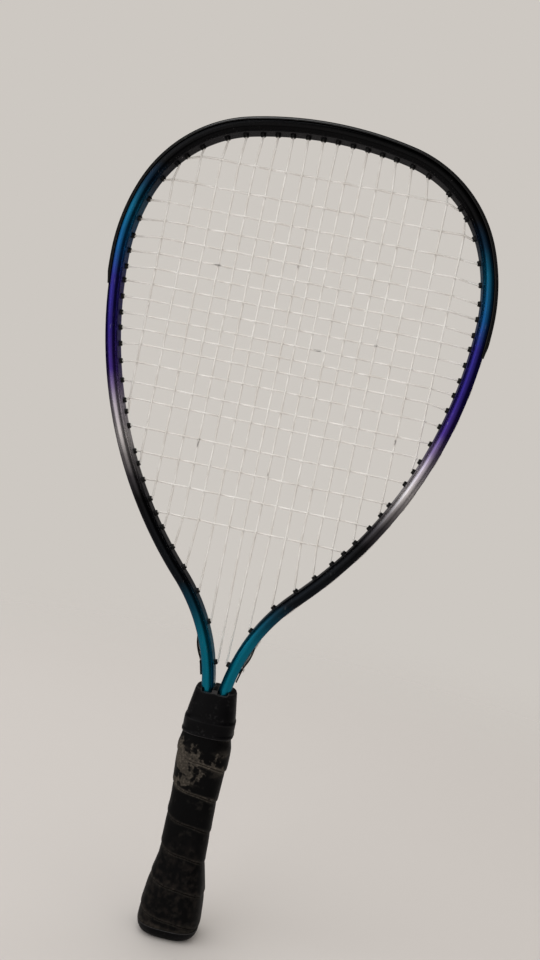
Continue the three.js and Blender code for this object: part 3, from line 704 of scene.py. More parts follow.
@dataclass(frozen=True)
class SoftRubber:
    """Black rubber with a fine grain and grey dust, and a painted highlight in lighter grey on what
    stands proud.
    """

    black: Colour = srgb(4, 4, 6)
    dust_and_highlight: Colour = srgb(62, 61, 62)
    clouds: Pattern = Pattern(8.0, 5.0)
    cloud_limits: Span = (0.45, 0.65)
    dusted: Pattern = Pattern(1.6, 3.0, shift=4.0, limits=(0.52, 0.66))
    dust_share: float = 0.2
    highlight_from: Span = (0.505, 0.54)
    highlight_share: float = 1.3
    roughness: float = 0.4
    cloud_roughness: float = 0.12
    dust_roughness: float = 0.15
    creases: Pattern = Pattern(0.8, 3.0, (4.0, 4.0, 1.0), 6.0)
    grain: Pattern = Pattern(0.3, 2.0, shift=1.0)
    depth: float = 0.05

    def material(self) -> Material:
        """Builds the rubber."""
        shader = Shader("collar_rubber", IOR=1.5, Specular_IOR_Level=0.07)
        clouds = shader.cloud(self.clouds)
        dust = shader.cloud(self.dusted) * clouds.step(*self.cloud_limits)
        # What stands proud gets a painted highlight in lighter grey, added to the grey dust.
        proud = shader.pointiness.step(*self.highlight_from) * clouds
        dust_and_highlight_mask = dust * self.dust_share + proud * self.highlight_share
        shader.feed("Base Color", shader.mix(dust_and_highlight_mask, self.black, self.dust_and_highlight))
        roughness = self.roughness + self.cloud_roughness * clouds
        shader.feed("Roughness", roughness + self.dust_roughness * dust)
        shader.bump((shader.cloud(self.grain) + shader.cloud(self.creases)) * 0.5, self.depth)
        return shader.material


@dataclass(frozen=True)
class WornWrap:
    """Black wrap whose skin has come off in olive grey flakes near the top, with a painted
    highlight of that grey along the proud seam edges and its sunken seams kept black, partly as
    painted shade.
    """

    black: Colour = srgb(3, 3, 4)
    olive: Colour = srgb(60, 56, 51)
    pale: Colour = srgb(86, 80, 73)
    brown: Colour = srgb(38, 33, 30)
    coarse: Pattern = Pattern(13.0, 5.0, shift=2.0)
    fine: Pattern = Pattern(3.2, 5.0, shift=8.0)
    coarse_share: float = 0.6
    worn_heights: Span = (85.0, 118.0)
    clean_heights: Span = (130.0, 146.0)
    worn_left: Span = (9.0, -7.0)
    high_gain: float = 0.06
    left_gain: float = 0.14
    low_loss: float = 0.1
    flake_limits: Span = (0.62, 0.68)
    flake_share: float = 0.8
    scuffed: Pattern = Pattern(6.0, 6.0, shift=15.0, limits=(0.58, 0.72))
    scuff_share: float = 0.2
    greys: Pattern = Pattern(1.5, 3.0, shift=5.0, limits=(0.45, 0.7))
    mottled: Pattern = Pattern(4.0, 7.0, shift=31.0, limits=(0.42, 0.72))
    mottle_share: float = 0.5
    brown_heights: Span = (80.0, 40.0)
    highlight_from: Span = (0.507, 0.522)
    highlight_limits: Span = (0.3, 0.42)
    highlight_share: float = 0.2
    sunk_from: Span = (0.495, 0.47)
    roughness: float = 0.52
    fine_roughness: float = 0.1
    flake_roughness: float = 0.22
    pores: Pattern = Pattern(0.45, 2.0, shift=1.0)
    pore_depth: float = 0.4
    coarse_depth: float = 0.4
    flake_depth: float = 0.5
    depth: float = 0.12

    def material(self) -> Material:
        """Builds the wrap's skin."""
        shader = Shader("wrap_rubber", IOR=1.48, Specular_IOR_Level=0.07)
        x, _, height = shader.place
        coarse, fine = shader.cloud(self.coarse), shader.cloud(self.fine)
        high = height.step(*self.worn_heights) * (1 - height.step(*self.clean_heights))
        wear = coarse * self.coarse_share + fine * (1 - self.coarse_share)
        wear = wear + high * self.high_gain + x.step(*self.worn_left) * high * self.left_gain
        flakes = (wear - self.low_loss * (1 - high)).step(*self.flake_limits)
        # Proud seam edges get a painted highlight in the grey of the flakes, strongest near the
        # top.
        proud = shader.pointiness.step(*self.highlight_from) * fine.step(*self.highlight_limits)
        edges = proud * (self.highlight_share + (1 - self.highlight_share) * high)
        # Sunken seams keep the black, partly because wear misses them and partly as painted shade
        # in the gaps.
        wear_and_highlight = (flakes * self.flake_share + edges) * (1 - shader.pointiness.step(*self.sunk_from))
        base = shader.mix(shader.cloud(self.scuffed) * self.scuff_share, self.black, self.olive)
        mottle = shader.cloud(self.mottled) * height.step(*self.brown_heights)
        base = shader.mix(mottle * self.mottle_share, base, self.brown)
        grey = shader.mix(shader.cloud(self.greys), self.olive, self.pale)
        shader.feed("Base Color", shader.mix(wear_and_highlight, base, grey))
        roughness = self.roughness + self.fine_roughness * fine
        shader.feed("Roughness", roughness + self.flake_roughness * flakes)
        relief = shader.cloud(self.pores) * self.pore_depth + coarse * self.coarse_depth
        shader.bump(relief - flakes * self.flake_depth, self.depth)
        return shader.material


@dataclass(frozen=True)
class PlainStuff:
    """A material inside the handle: a base colour clouded with a second one."""

    name: str
    base: Colour
    cloud: Colour
    metallic: float
    roughness: float
    grain: float
    finer: float = 6.0
    cloud_limits: Span = (0.35, 0.65)
    fine_roughness: float = 0.15
    depth: float = 0.03

    def material(self) -> Material:
        """Builds the material."""
        shader = Shader(self.name, Metallic=self.metallic)
        clouds = shader.cloud(Pattern(self.grain, 4.0, limits=self.cloud_limits))
        fine = shader.cloud(Pattern(self.grain / self.finer, 2.0, shift=3.0))
        shader.feed("Base Color", shader.mix(clouds, self.base, self.cloud))
        shader.feed("Roughness", self.roughness + self.fine_roughness * fine)
        shader.bump(fine, self.depth)
        return shader.material


# The frame tube and what it carries


@dataclass(frozen=True)
class Station:
    """A place on the tube's centreline."""

    along: float
    point: Vector
    tangent: Vector
    inward: Vector

    def beside(self, inward: float, rear: float = 0.0) -> Vector:
        """A point moved into the head and towards the rear."""
        return self.point + self.inward * inward + REAR * rear

    def ring(self, outline: Outline) -> Ring:
        """A section's outline of depths and inward distances, set across the tube."""
        return [self.beside(inward, -depth) for depth, inward in outline]


@dataclass(frozen=True)
class Arc:
    """One bend of the centreline, with its heading at the start, clockwise from +X."""

    start: float
    angle: float
    radius: float
    turn: int
    centre: Vector
    heading: float


@dataclass(frozen=True)
class Centreline:
    """The bent tube's line: tangent arcs from the crown down to two straight shafts.

    The crown, the shoulder and the side are each a radius and an angle in degrees.
    """

    crown: Span = (250.0, 12.3)
    shoulder: Span = (84.0, 55.82)
    side: Span = (122.8, 22.3)
    flank_radius: float = 293.3
    throat_radius: float = 125.0
    shaft_offset: float = 4.8
    shaft_end_height: float = 53.0
    bend_end_height: float = 154.4

    @cached_property
    def arcs(self) -> list[Arc]:
        """The arcs of the right half. The flank's angle brings the throat bend onto its shaft."""
        made: list[Arc] = []
        at, heading, start = Vector((0, 0)), 0.0, 0.0

        def add(radius: float, angle: float, turn: int) -> None:
            """Adds one arc at the end of the line."""
            nonlocal at, heading, start
            centre = at - Vector((math.sin(heading), math.cos(heading))) * radius * turn
            made.append(Arc(start, angle, radius, turn, centre, heading))
            start += radius * angle
            heading += angle * turn
            at = centre + Vector((math.sin(heading), math.cos(heading))) * radius * turn

        for radius, degrees in (self.crown, self.shoulder, self.side):
            add(radius, math.radians(degrees), 1)
        flank_x = at.x - math.sin(heading) * self.flank_radius
        reach = self.shaft_offset + self.throat_radius - flank_x
        last = math.pi - math.asin(reach / (self.flank_radius + self.throat_radius))
        add(self.flank_radius, last - heading, 1)
        add(self.throat_radius, last - math.pi / 2, -1)
        return made

    @cached_property
    def bend_length(self) -> float:
        """The distance from the crown to the end of the throat bend."""
        return self.arcs[-1].start + self.arcs[-1].radius * self.arcs[-1].angle

    @cached_property
    def crown_height(self) -> float:
        """The height of the centreline at the crown."""
        last = self.arcs[-1]
        heading = last.heading + last.turn * last.angle
        return self.bend_end_height - (last.centre.y + last.turn * last.radius * math.cos(heading))

    @cached_property
    def length(self) -> float:
        """The distance from the crown to the end of a shaft."""
        return self.bend_length + self.bend_end_height - self.shaft_end_height

    def at(self, along: float) -> Station:
        """The tube at a distance from the crown, negative on the left half.

        Args:
            along: the distance along the centreline.

        Returns:
            The station there.
        """
        side = -1 if along < 0 else 1
        distance = min(abs(along), self.length)
        if distance >= self.bend_length:
            x, z = self.shaft_offset, self.bend_end_height - (distance - self.bend_length)
            heading = math.pi / 2
        else:
            arc = [arc for arc in self.arcs if arc.start <= distance][-1]
            heading = arc.heading + arc.turn * (distance - arc.start) / arc.radius
            x = arc.centre.x + arc.turn * arc.radius * math.sin(heading)
            z = self.crown_height + arc.centre.y + arc.turn * arc.radius * math.cos(heading)
        sine, cosine = math.sin(heading), math.cos(heading)
        tangent = Vector((cosine, 0, -side * sine))
        inward = Vector((-side * sine, 0, -cosine))
        return Station(along, Vector((side * x, 0, z)), tangent, inward)

    def between(self, start: float, end: float, spacing: float) -> list[Station]:
        """Evenly spaced stations from one distance to another, both included."""
        steps = max(round(abs(end - start) / spacing), 1)
        return [self.at(start + (end - start) * step / steps) for step in range(steps + 1)]

    @cached_property
    def half_width(self) -> float:
        """Half of the head's width between centrelines, where the tube heads straight down."""
        widest = [arc for arc in self.arcs if arc.heading < math.pi / 2][-1]
        return widest.centre.x + widest.radius


@dataclass(frozen=True)
class TubeSection:
    """The tube's section, as depths towards the face and distances into the head."""

    width: float = 8.2
    depth: float = 18.4
    corner_radius: float = 3.3
    corner_steps: int = 10
    face_crown: float = 0.9
    groove_half: float = 3.6
    groove_depth: float = 2.0
    groove_lip: float = 0.4
    lip_steps: int = 3
    wall: float = 1.0
    bore_chamfer: float = 1.5

    @property
    def half(self) -> float:
        """Half of the tube's width."""
        return self.width / 2

    @property
    def groove_floor(self) -> float:
        """How far the groove's floor lies outside the centreline."""
        return self.half - self.groove_depth

    def corner(self, inward_sign: int, gap: float = 0.0, start: float = 0.0) -> Outline:
        """Points of a corner from the face round to the wall.

        Args:
            inward_sign: 1 for the corner inside the head, -1 for the one outside it.
            gap: how far outside the tube the points lie.
            start: the angle of the first point from the face, in radians.

        Returns:
            The points.
        """
        points: Outline = []
        radius = self.corner_radius + gap
        for step in range(self.corner_steps + 1):
            angle = start + (math.pi / 2 - start) * step / self.corner_steps
            inward = self.half - self.corner_radius + radius * math.sin(angle)
            depth = self.depth / 2 - self.corner_radius + radius * math.cos(angle)
            depth -= self.face_crown * min(inward / self.half, 1.0) ** 2
            points.append((depth, inward_sign * inward))
        return points

    @staticmethod
    def mirrored(half: Outline) -> Outline:
        """An outline closed with its own mirror image, front to rear."""
        return half + [(-depth, inward) for depth, inward in reversed(half)]

    def outer(self) -> Outline:
        """The tube's outer skin, with its groove."""
        lip = self.groove_half
        edge_end = (lip + 2 * self.groove_lip, -self.half)
        corners = [(lip, -self.groove_floor), (lip, -self.half), edge_end]
        edge = soften([Vector(corner) for corner in corners], self.groove_lip, self.lip_steps)
        outside = [(point.x, point.y) for point in edge] + self.corner(-1)[::-1]
        return self.mirrored([*outside, (self.depth / 2, 0.0), *self.corner(1), (lip, self.half)])

    def bore(self) -> Outline:
        """The space inside the tube."""
        shelf, side = self.groove_half + self.wall, self.half - self.wall
        face = self.depth / 2 - self.wall
        return self.mirrored([
            (shelf, self.wall - self.groove_floor),
            (shelf, -side),
            (face - self.bore_chamfer, -side),
            (face, self.bore_chamfer - side),
            (face, side - self.bore_chamfer),
            (face - self.bore_chamfer, side),
        ])


@dataclass(frozen=True)
class Hole:
    """A string's way through the tube, at one end of a main or on one side of a cross."""

    number: int
    end: End | Side
    along: float
    line: float


@dataclass
class Lacing:
    """Where the strings lie in the bed and where each passes through the tube."""

    centreline: Centreline
    section: TubeSection
    main_shares: tuple[float, ...] = (
        0.0367, 0.1198, 0.2093, 0.2987, 0.389, 0.4785, 0.5806, 0.6962, 0.8258,
    )
    top_shares: tuple[float, ...] = (
        0.0098, 0.0303, 0.0506, 0.0709, 0.0908, 0.1141, 0.14, 0.1766, 0.2186,
    )
    bottom_shares: tuple[float, ...] = (
        0.9347, 0.8812, 0.8388, 0.8029, 0.7715, 0.7412, 0.6992, 0.6484, 0.5758,
    )
    cross_shares: tuple[float, ...] = (
        0.0661, 0.1131, 0.1526, 0.1846, 0.2142, 0.2413, 0.2674, 0.295, 0.3227, 0.35,
        0.374, 0.3993, 0.4308, 0.4657, 0.4933, 0.5395, 0.5813, 0.6254, 0.6768,
    )
    side_shares: tuple[float, ...] = (
        0.2019, 0.2477, 0.2817, 0.311, 0.3361, 0.357, 0.3787, 0.3974, 0.4193, 0.441,
        0.4615, 0.4832, 0.5067, 0.5328, 0.5602, 0.5955, 0.6309, 0.6715, 0.7201,
    )
    barrel_reach: float = 2.0
    mouth_lead: float = 0.2

    @property
    def mouth(self) -> float:
        """How far inside the centreline a string leaves its barrel."""
        return self.section.half + self.barrel_reach + self.mouth_lead

    @cached_property
    def holes(self) -> list[Hole]:
        """Every hole, at its share of the bent tube's length from the crown."""
        line = self.centreline
        bed_width = line.half_width - self.section.half
        bed_top = line.crown_height - self.section.half
        bed_height = bed_top - line.bend_end_height
        holes: list[Hole] = []
        for side in Side:
            reach = side.value * line.bend_length
            for i, share in enumerate(self.main_shares):
                number, x = side.value * (i + 1), side.value * share * bed_width
                holes.append(Hole(number, End.TOP, self.top_shares[i] * reach, x))
                holes.append(Hole(number, End.BOTTOM, self.bottom_shares[i] * reach, x))
            for i, share in enumerate(self.cross_shares):
                z = bed_top - share * bed_height
                holes.append(Hole(i + 1, side, self.side_shares[i] * reach, z))
        return holes

    def at_end(self, end: End | Side) -> list[Hole]:
        """The holes at one end of the mains or on one side of the crosses."""
        return [hole for hole in self.holes if hole.end is end]

    def hole(self, number: int, end: End | Side) -> Hole:
        """One hole by its string's number and its end."""
        return next(hole for hole in self.at_end(end) if hole.number == number)

    @cached_property
    def throat_along(self) -> float:
        """The distance from the crown to the two holes nearest the collar."""
        return self.hole(1, End.BOTTOM).along

    def in_throat(self, hole: Hole) -> bool:
        """Whether a hole has a grommet of its own at the throat."""
        return hole.end is End.BOTTOM and abs(hole.number) == 1


@dataclass
class FrameTube:
    """The bent tube of the head and both shafts."""

    centreline: Centreline
    section: TubeSection
    lacing: Lacing
    material: Material
    ring_spacing: float = 2.4
    hole_radius: float = 2.05
    hole_sides: int = 20
    overrun: float = 3.0

    def build(self) -> None:
        """Makes the tube, hollow and drilled."""
        line, reach = self.centreline, self.centreline.length
        stations = line.between(-reach, reach, self.ring_spacing)
        outer, inner = self.section.outer(), self.section.bore()
        tube = Piece("painted_tube", loft([s.ring(outer) for s in stations]), "frame_paint")
        bore = [s.ring(inner) for s in stations]
        for end in (bore[0], bore[-1]):
            end[:] = [point - UP * self.overrun for point in end]
        tube.cut(loft(bore))
        drills = Shape()
        depth = self.section.half + self.overrun
        for hole in self.lacing.holes:
            at = line.at(hole.along)
            ends = [at.beside(-depth), at.beside(depth)]
            drills.add(round_tube(ends, self.hole_radius, self.hole_sides))
        tube.cut(drills)
        tube.finish(self.material, "frame_tube")


@dataclass
class Grommets:
    """The bumper guard, the side strips and the throat grommets, with a barrel at each hole."""

    centreline: Centreline
    section: TubeSection
    lacing: Lacing
    material: Material
    slot: str = "guard_plastic"
    fit_gap: float = 0.3
    strip_thickness: float = 0.8
    strip_half_width: float = 3.3
    strip_edge: float = 0.25
    edge_steps: int = 3
    strip_tail_gap: float = 1.0
    tail_bow: float = 1.5
    tail_steps: int = 12
    barrel_radius: float = 1.8
    barrel_root_radius: float = 2.0
    barrel_rim: float = 0.35
    rim_shares: Profile = ((0.0, 2.0), (1 / 3, 0.5), (1.0, 0.0))
    bore_radius: float = 0.82
    barrel_sides: int = 20
    bumper_reach: float = 203.6
    crest: float = 1.9
    crest_slope: float = 0.4
    crest_half_width: float = 4.0
    crest_fall: float = 0.2
    channel_half_width: float = 2.6
    channel_edge: Span = (0.25, 1 / 3)
    lip_thickness: float = 0.9
    lip_reach: float = 1.3
    nose_lead: Span = (0.2, 1 / 3)
    taper_length: float = 9.0
    taper_share: float = 0.35
    flange_thickness: float = 1.0
    flange_half_width: float = 4.6
    flange_above: float = 2.3
    flange_below: float = 7.5
    ring_spacing: float = 2.4

    @property
    def strip_inner(self) -> float:
        """How far the strips' inner face lies outside the centreline."""
        return self.section.groove_floor + self.fit_gap

    @property
    def strip_outer(self) -> float:
        """How far the strips' outer face lies outside the centreline."""
        return self.strip_inner + self.strip_thickness

    @property
    def strip_middle(self) -> float:
        """How far the middle of a strip lies outside the centreline."""
        return self.strip_inner + self.strip_thickness / 2

    @property
    def flange_outer(self) -> float:
        """How far a throat grommet's outer face lies outside the centreline."""
        return self.section.half + self.fit_gap + self.flange_thickness

    def barrel(self, hole: Hole, root: float) -> Shape:
        """A hole's barrel, to its mouth inside the head.

        Args:
            hole: the hole.
            root: how far outside the centreline the barrel starts.

        Returns:
            The barrel.
        """
        tip, rim = self.section.half + self.lacing.barrel_reach, self.barrel_rim
        rounding = [(self.barrel_radius - a * rim, tip - b * rim) for a, b in self.rim_shares]
        outline = [
            (self.bore_radius, -root),
            (self.barrel_root_radius, -root),
            (self.barrel_root_radius, self.section.half),
            *rounding,
            (self.bore_radius + rim / 2, tip),
            (self.bore_radius, tip - rim),
        ]
        at = self.centreline.at(hole.along)
        return turned(outline, at.point, at.inward, self.barrel_sides)

    def guard_outline(self, station: Station) -> Outline:
        """The bumper guard's section, lower and thinner near its two ends.

        Args:
            station: the place on the tube.

        Returns:
            The section there.
        """
        left = (self.bumper_reach - abs(station.along)) / self.taper_length
        full = self.taper_share + (1 - self.taper_share) * ease(left)
        lip, slope = self.lip_thickness * full, self.crest_slope * full
        flange = self.section.half + self.fit_gap
        crest = flange + (self.crest - self.fit_gap) * full
        lip_angle = math.asin(1 - self.lip_reach / self.section.corner_radius)
        outer = self.section.corner(-1, self.fit_gap + lip, lip_angle)
        inner = self.section.corner(-1, self.fit_gap, lip_angle)
        nose = [(a + b) / 2 + lip * lead for a, b, lead in zip(outer[0], inner[0], self.nose_lead)]
        shoulder = self.section.depth / 2 - self.section.corner_radius
        channel, (edge_out, edge_fall) = self.channel_half_width, self.channel_edge
        half = [
            (channel, -self.strip_outer),
            (channel, slope - crest),
            (channel + edge_out * slope, edge_fall * slope - crest),
            (self.crest_half_width, -crest),
            ((self.crest_half_width + shoulder) / 2, self.crest_fall * slope - crest),
            (shoulder, slope - crest),
            *outer[:-1][::-1],
            (nose[0], nose[1]),
            *inner,
            (self.strip_half_width, -flange),
            (self.strip_half_width, -self.strip_inner),
        ]
        return TubeSection.mirrored(half)

    def strip(
        self, half_width: float, thickness: float, path: Sequence[tuple[Vector, Vector]]
    ) -> Shape:
        """A flat strip with rounded edges.

        Args:
            half_width: half of its width, from front to rear.
            thickness: its thickness.
            path: the points of its middle, each with the direction into the head there.

        Returns:
            The strip.
        """
        signs = ((1, 1), (1, -1), (-1, -1), (-1, 1))
        corners = [Vector((depth * half_width, inward * thickness / 2)) for depth, inward in signs]
        outline = soften(corners, self.strip_edge, self.edge_steps, closed=True)
        return loft([[at + inward * p.y - REAR * p.x for p in outline] for at, inward in path])

    @staticmethod
    def into_head(chord: Vector, inward: Vector) -> Vector:
        """The direction across a straight stretch of strip, on the side of the head."""
        across = chord.cross(REAR).normalized()
        return across if across.dot(inward) > 0 else -across

    def build_guard(self) -> None:
        """Makes the bumper guard over the top of the head."""
        stations = self.centreline.between(-self.bumper_reach, self.bumper_reach, self.ring_spacing)
        shape = loft([s.ring(self.guard_outline(s)) for s in stations])
        for hole in self.lacing.holes:
            if abs(hole.along) < self.bumper_reach:
                shape.add(self.barrel(hole, self.strip_middle))
        Piece("bumper_guard_moulding", shape, self.slot).finish(self.material, "bumper_guard")

    def build_strip(self, side: Side) -> None:
        """Makes a side strip, in the groove to its last barrel and then straight to the throat.

        Args:
            side: the side that it lies on.
        """
        line, lacing, sign = self.centreline, self.lacing, side.value
        start = self.bumper_reach + self.strip_tail_gap
        last = lacing.hole(2, End.BOTTOM).along + 2 * self.barrel_radius
        stations = line.between(sign * start, sign * last, self.ring_spacing)
        path = [(s.beside(-self.strip_middle), s.inward) for s in stations]
        root = path[-1][0]
        tail = line.at(sign * (lacing.throat_along - self.flange_above - self.strip_tail_gap))
        tail_point = tail.beside(-(self.strip_middle + self.flange_outer - self.strip_outer))
        across = self.into_head(tail_point - root, tail.inward)
        for step in range(1, self.tail_steps + 1):
            share = step / self.tail_steps
            bow = self.tail_bow * math.sin(math.pi * share)
            path.append((root.lerp(tail_point, share) - across * bow, across))
        shape = self.strip(self.strip_half_width, self.strip_thickness, path)
        for hole in lacing.holes:
            if hole.along * sign > self.bumper_reach and not lacing.in_throat(hole):
                shape.add(self.barrel(hole, self.strip_middle))
        piece = Piece(side.named("side_strip"), shape, self.slot)
        piece.finish(self.material, side.named("grommet_strip"))

    def build_throat(self, side: Side) -> None:
        """Makes the separate grommet at the lowest main string.

        Args:
            side: the side that it lies on.
        """
        throat = self.lacing.throat_along
        middle = self.flange_outer - self.flange_thickness / 2
        ends = [self.centreline.at(side.value * along)
                for along in (throat - self.flange_above, throat + self.flange_below)]
        points = [end.beside(-middle) for end in ends]
        across = self.into_head(points[1] - points[0], ends[0].inward)
        path = [(point, across) for point in points]
        shape = self.strip(self.flange_half_width, self.flange_thickness, path)
        shape.add(self.barrel(self.lacing.hole(side.value, End.BOTTOM), middle))
        piece = Piece(side.named("throat_eyelet"), shape, self.slot)
        piece.finish(self.material, side.named("throat_grommet"))


@dataclass
class StringBed:
    """The main string and the cross string, each one length of nylon."""

    centreline: Centreline
    lacing: Lacing
    grommets: Grommets
    material: Material
    radius: float = 0.65
    sides: int = 12
    sharp_angle: float = 80.0
    lift: float = 0.4
    main_rise: float = 0.5
    cross_rise: float = 0.82
    passing_shift: float = 1.7
    tail_run: float = 3.0
    tail_shift: float = 0.8
    bend_reach: float = 0.9
    loop_spacing: float = 4.0
    weave_steps: int = 5

    @property
    def corner_run(self) -> float:
        """How far a string's middle lies from the face that it turns on."""
        return self.lift + self.radius

    def turn_offset(self, hole: Hole) -> float:
        """How far outside the centreline the string turns at a hole."""
        grommets = self.grommets
        face = grommets.flange_outer if self.lacing.in_throat(hole) else grommets.strip_outer
        return face + self.corner_run

    def pass_out(self, hole: Hole, towards: int) -> Ring:
        """A string's points through one hole, from the bed outwards, ending beside the hole."""
        at, offset = self.centreline.at(hole.along), self.turn_offset(hole)
        corner = at.beside(-offset) + at.tangent * towards * self.corner_run
        return [at.beside(self.lacing.mouth), at.beside(self.corner_run - offset), corner]

    def loop(self, a: Hole, b: Hole, rear_shift: float) -> Ring:
        """A string's points outside the tube between two of its holes.

        Args:
            a: the hole that it comes out of.
            b: the hole that it goes back into.
            rear_shift: how far it moves aside where it passes another string's hole.

        Returns:
            The points, from the mouth of one hole to that of the other.
        """
        towards = 1 if b.along > a.along else -1
        passed = [h for h in self.lacing.holes if (h.along - a.along) * (h.along - b.along) < 0]
        knots = sorted([a, *passed, b], key=lambda h: towards * h.along)
        offset = self.grommets.strip_outer + self.corner_run
        points: Ring = []
        for last, knot in pairwise(knots):
            shifts = [0.0 if h in (a, b) else rear_shift for h in (last, knot)]
            ends = [self.centreline.at(h.along).beside(-offset, shift)
                    for h, shift in zip((last, knot), shifts)]
            run = knot.along - last.along
            steps = max(round(abs(run) / self.loop_spacing), 1)
            for step in range(1, steps + (knot is not b)):
                share = step / steps
                at = self.centreline.at(last.along + run * share)
                shift = shifts[0] + (shifts[1] - shifts[0]) * ease(share)
                curve, chord = at.beside(-offset, shift), ends[0].lerp(ends[1], share)
                inside = (curve - chord).dot(at.inward) > 0
                points.append(Vector((chord.x, shift, chord.z)) if inside else curve)
        out, back = self.pass_out(a, towards), self.pass_out(b, -towards)
        return soften([*out, *points, *back[::-1]], self.bend_reach)

    def tail(self, hole: Hole, towards: int, rear_shift: float) -> Ring:
        """A short end of string beside its last hole."""
        at = self.centreline.at(hole.along + towards * self.tail_run)
        points = [*self.pass_out(hole, towards), at.beside(-self.turn_offset(hole), rear_shift)]
        return soften(points, self.bend_reach)

    def mouth(self, number: int, end: End | Side) -> Vector:
        """Where a string leaves its barrel for the bed."""
        return self.centreline.at(self.lacing.hole(number, end).along).beside(self.lacing.mouth)

    @cached_property
    def crossings(self) -> list[tuple[int, int, Vector]]:
        """The main's and the cross's number at each crossing, with its place."""
        found = []
        for main in self.lacing.at_end(End.BOTTOM):
            low, high = self.mouth(main.number, End.BOTTOM), self.mouth(main.number, End.TOP)
            for cross in self.lacing.at_end(Side.RIGHT):
                reach = self.mouth(cross.number, Side.RIGHT).x - 2 * self.radius
                if low.z < cross.line < high.z and abs(main.line) < reach:
                    found.append((main.number, cross.number, Vector((main.line, 0, cross.line))))
        return found

    @staticmethod
    def cross_side(main: int, cross: int) -> int:
        """1 where the cross string passes behind the main one, -1 where it passes in front."""
        place = main + 1 if main < 0 else main
        return 1 if (place + cross) % 2 == 0 else -1

    def stretch(self, number: int, start: End | Side, end: End | Side) -> Ring:
        """A string's points across the bed, between two mouths.

        Args:
            number: the string's number.
            start: the end that it leaves.
            end: the end that it reaches.

        Returns:
            The points, without the mouths.
        """
        first, last = self.mouth(number, start), self.mouth(number, end)
        is_main = isinstance(start, End)
        rise = -self.main_rise if is_main else self.cross_rise
        knots = [(place, rise * self.cross_side(main, cross))
                 for main, cross, place in self.crossings
                 if number == (main if is_main else cross)]
        knots.sort(key=lambda knot: (knot[0] - first).length)
        points: Ring = []
        for (a, rise_a), (b, rise_b) in pairwise([(first, 0.0), *knots, (last, 0.0)]):
            for step in range(self.weave_steps):
                share = (step + 1) / self.weave_steps
                point = a.lerp(b, share)
                point.y = rise_a + (rise_b - rise_a) * ease(share)
                points.append(point)
        return points[:-1]

    def laced(
        self, order: Sequence[int], ends: Sequence[End | Side], last_way: int, rear: int
    ) -> Shape:
        """A whole string, laced back and forth.

        Args:
            order: the numbers of its stretches.
            ends: where its first stretch starts and where it ends.
            last_way: 1 if its last tail runs to the right round the head, -1 if to the left.
            rear: 1 if it keeps to the rear where it passes other holes, -1 if to the front.

        Returns:
            The string.
        """
        start, end = ends
        points = self.tail(self.lacing.hole(order[0], start), -1, rear * self.tail_shift)[::-1]
        for number, following in pairwise([*order, None]):
            points += self.stretch(number, start, end)
            here = self.lacing.hole(number, end)
            if following is None:
                points += self.tail(here, last_way, rear * self.tail_shift)
            else:
                there = self.lacing.hole(following, end)
                points += self.loop(here, there, rear * self.passing_shift)
            start, end = end, start
        return round_tube(points, self.radius, self.sides)

    def build(self) -> None:
        """Makes the main string from left to right, and the cross string from the top down."""
        mains, crosses = len(self.lacing.main_shares), len(self.lacing.cross_shares)
        order = [*range(-mains, 0), *range(1, mains + 1)]
        strings = {
            "main_string": self.laced(order, (End.BOTTOM, End.TOP), 1, 1),
            "cross_string": self.laced(range(1, crosses + 1), (Side.RIGHT, Side.LEFT), -1, -1),
        }
        for name, shape in strings.items():
            string = Piece(f"{name}_nylon", shape, "string_nylon", self.sharp_angle)
            string.finish(self.material, name)


# The handle


@dataclass(frozen=True)
class HandleForm:
    """The handle's squared-off section and its radius, measured along X, at each height."""

    flatness: float = 0.9
    squareness: float = 2 / 3
    grip_radius: float = 15.71
    top_swell: float = 2.1
    swell: Span = (91.0, 129.0)
    flare_width: float = 5.4
    flare: Span = (53.0, 10.0)
    taper: float = 2.9
    taper_start: float = 131.0
    wrap_top: float = 150.5
    axis_radius: float = 0.01
    sides: int = 96

    def radius_at(self, height: float) -> float:
        """The radius of the wrapped grip.

        Args:
            height: where it is wanted.

        Returns:
            The radius there.
        """

        def share(low: float, high: float) -> float:
            """How far the height is on the way from one place to another."""
            return min(max((height - low) / (high - low), 0.0), 1.0)

        swollen = self.top_swell * (1 - math.cos(math.pi * share(*self.swell))) / 2
        flared = self.flare_width * math.sin(math.pi / 2 * share(*self.flare))
        taper = max((height - self.taper_start) / (self.wrap_top - self.taper_start), 0.0)
        return self.grip_radius + swollen + flared - self.taper * taper

    def point(self, angle: float, radius: float, height: float) -> Vector:
        """A point of the section at an angle from +X."""
        across, back = (math.copysign(abs(value) ** self.squareness, value)
                        for value in (math.cos(angle), math.sin(angle)))
        return Vector((radius * across, radius * self.flatness * back, height))

    def turned(self, outline: Outline, reach: float, steps: int) -> Shape:
        """A solid with this section, from an outline that starts and ends near the axis.

        Args:
            outline: radii and heights.
            reach: how far from a corner of the outline its rounding starts.
            steps: points on each rounding, less one.

        Returns:
            The solid.
        """
        points = soften([Vector(point) for point in outline], reach, steps)
        angles = [math.tau * side / self.sides for side in range(self.sides)]
        return loft([[self.point(angle, p.x, p.y) for angle in angles] for p in points])


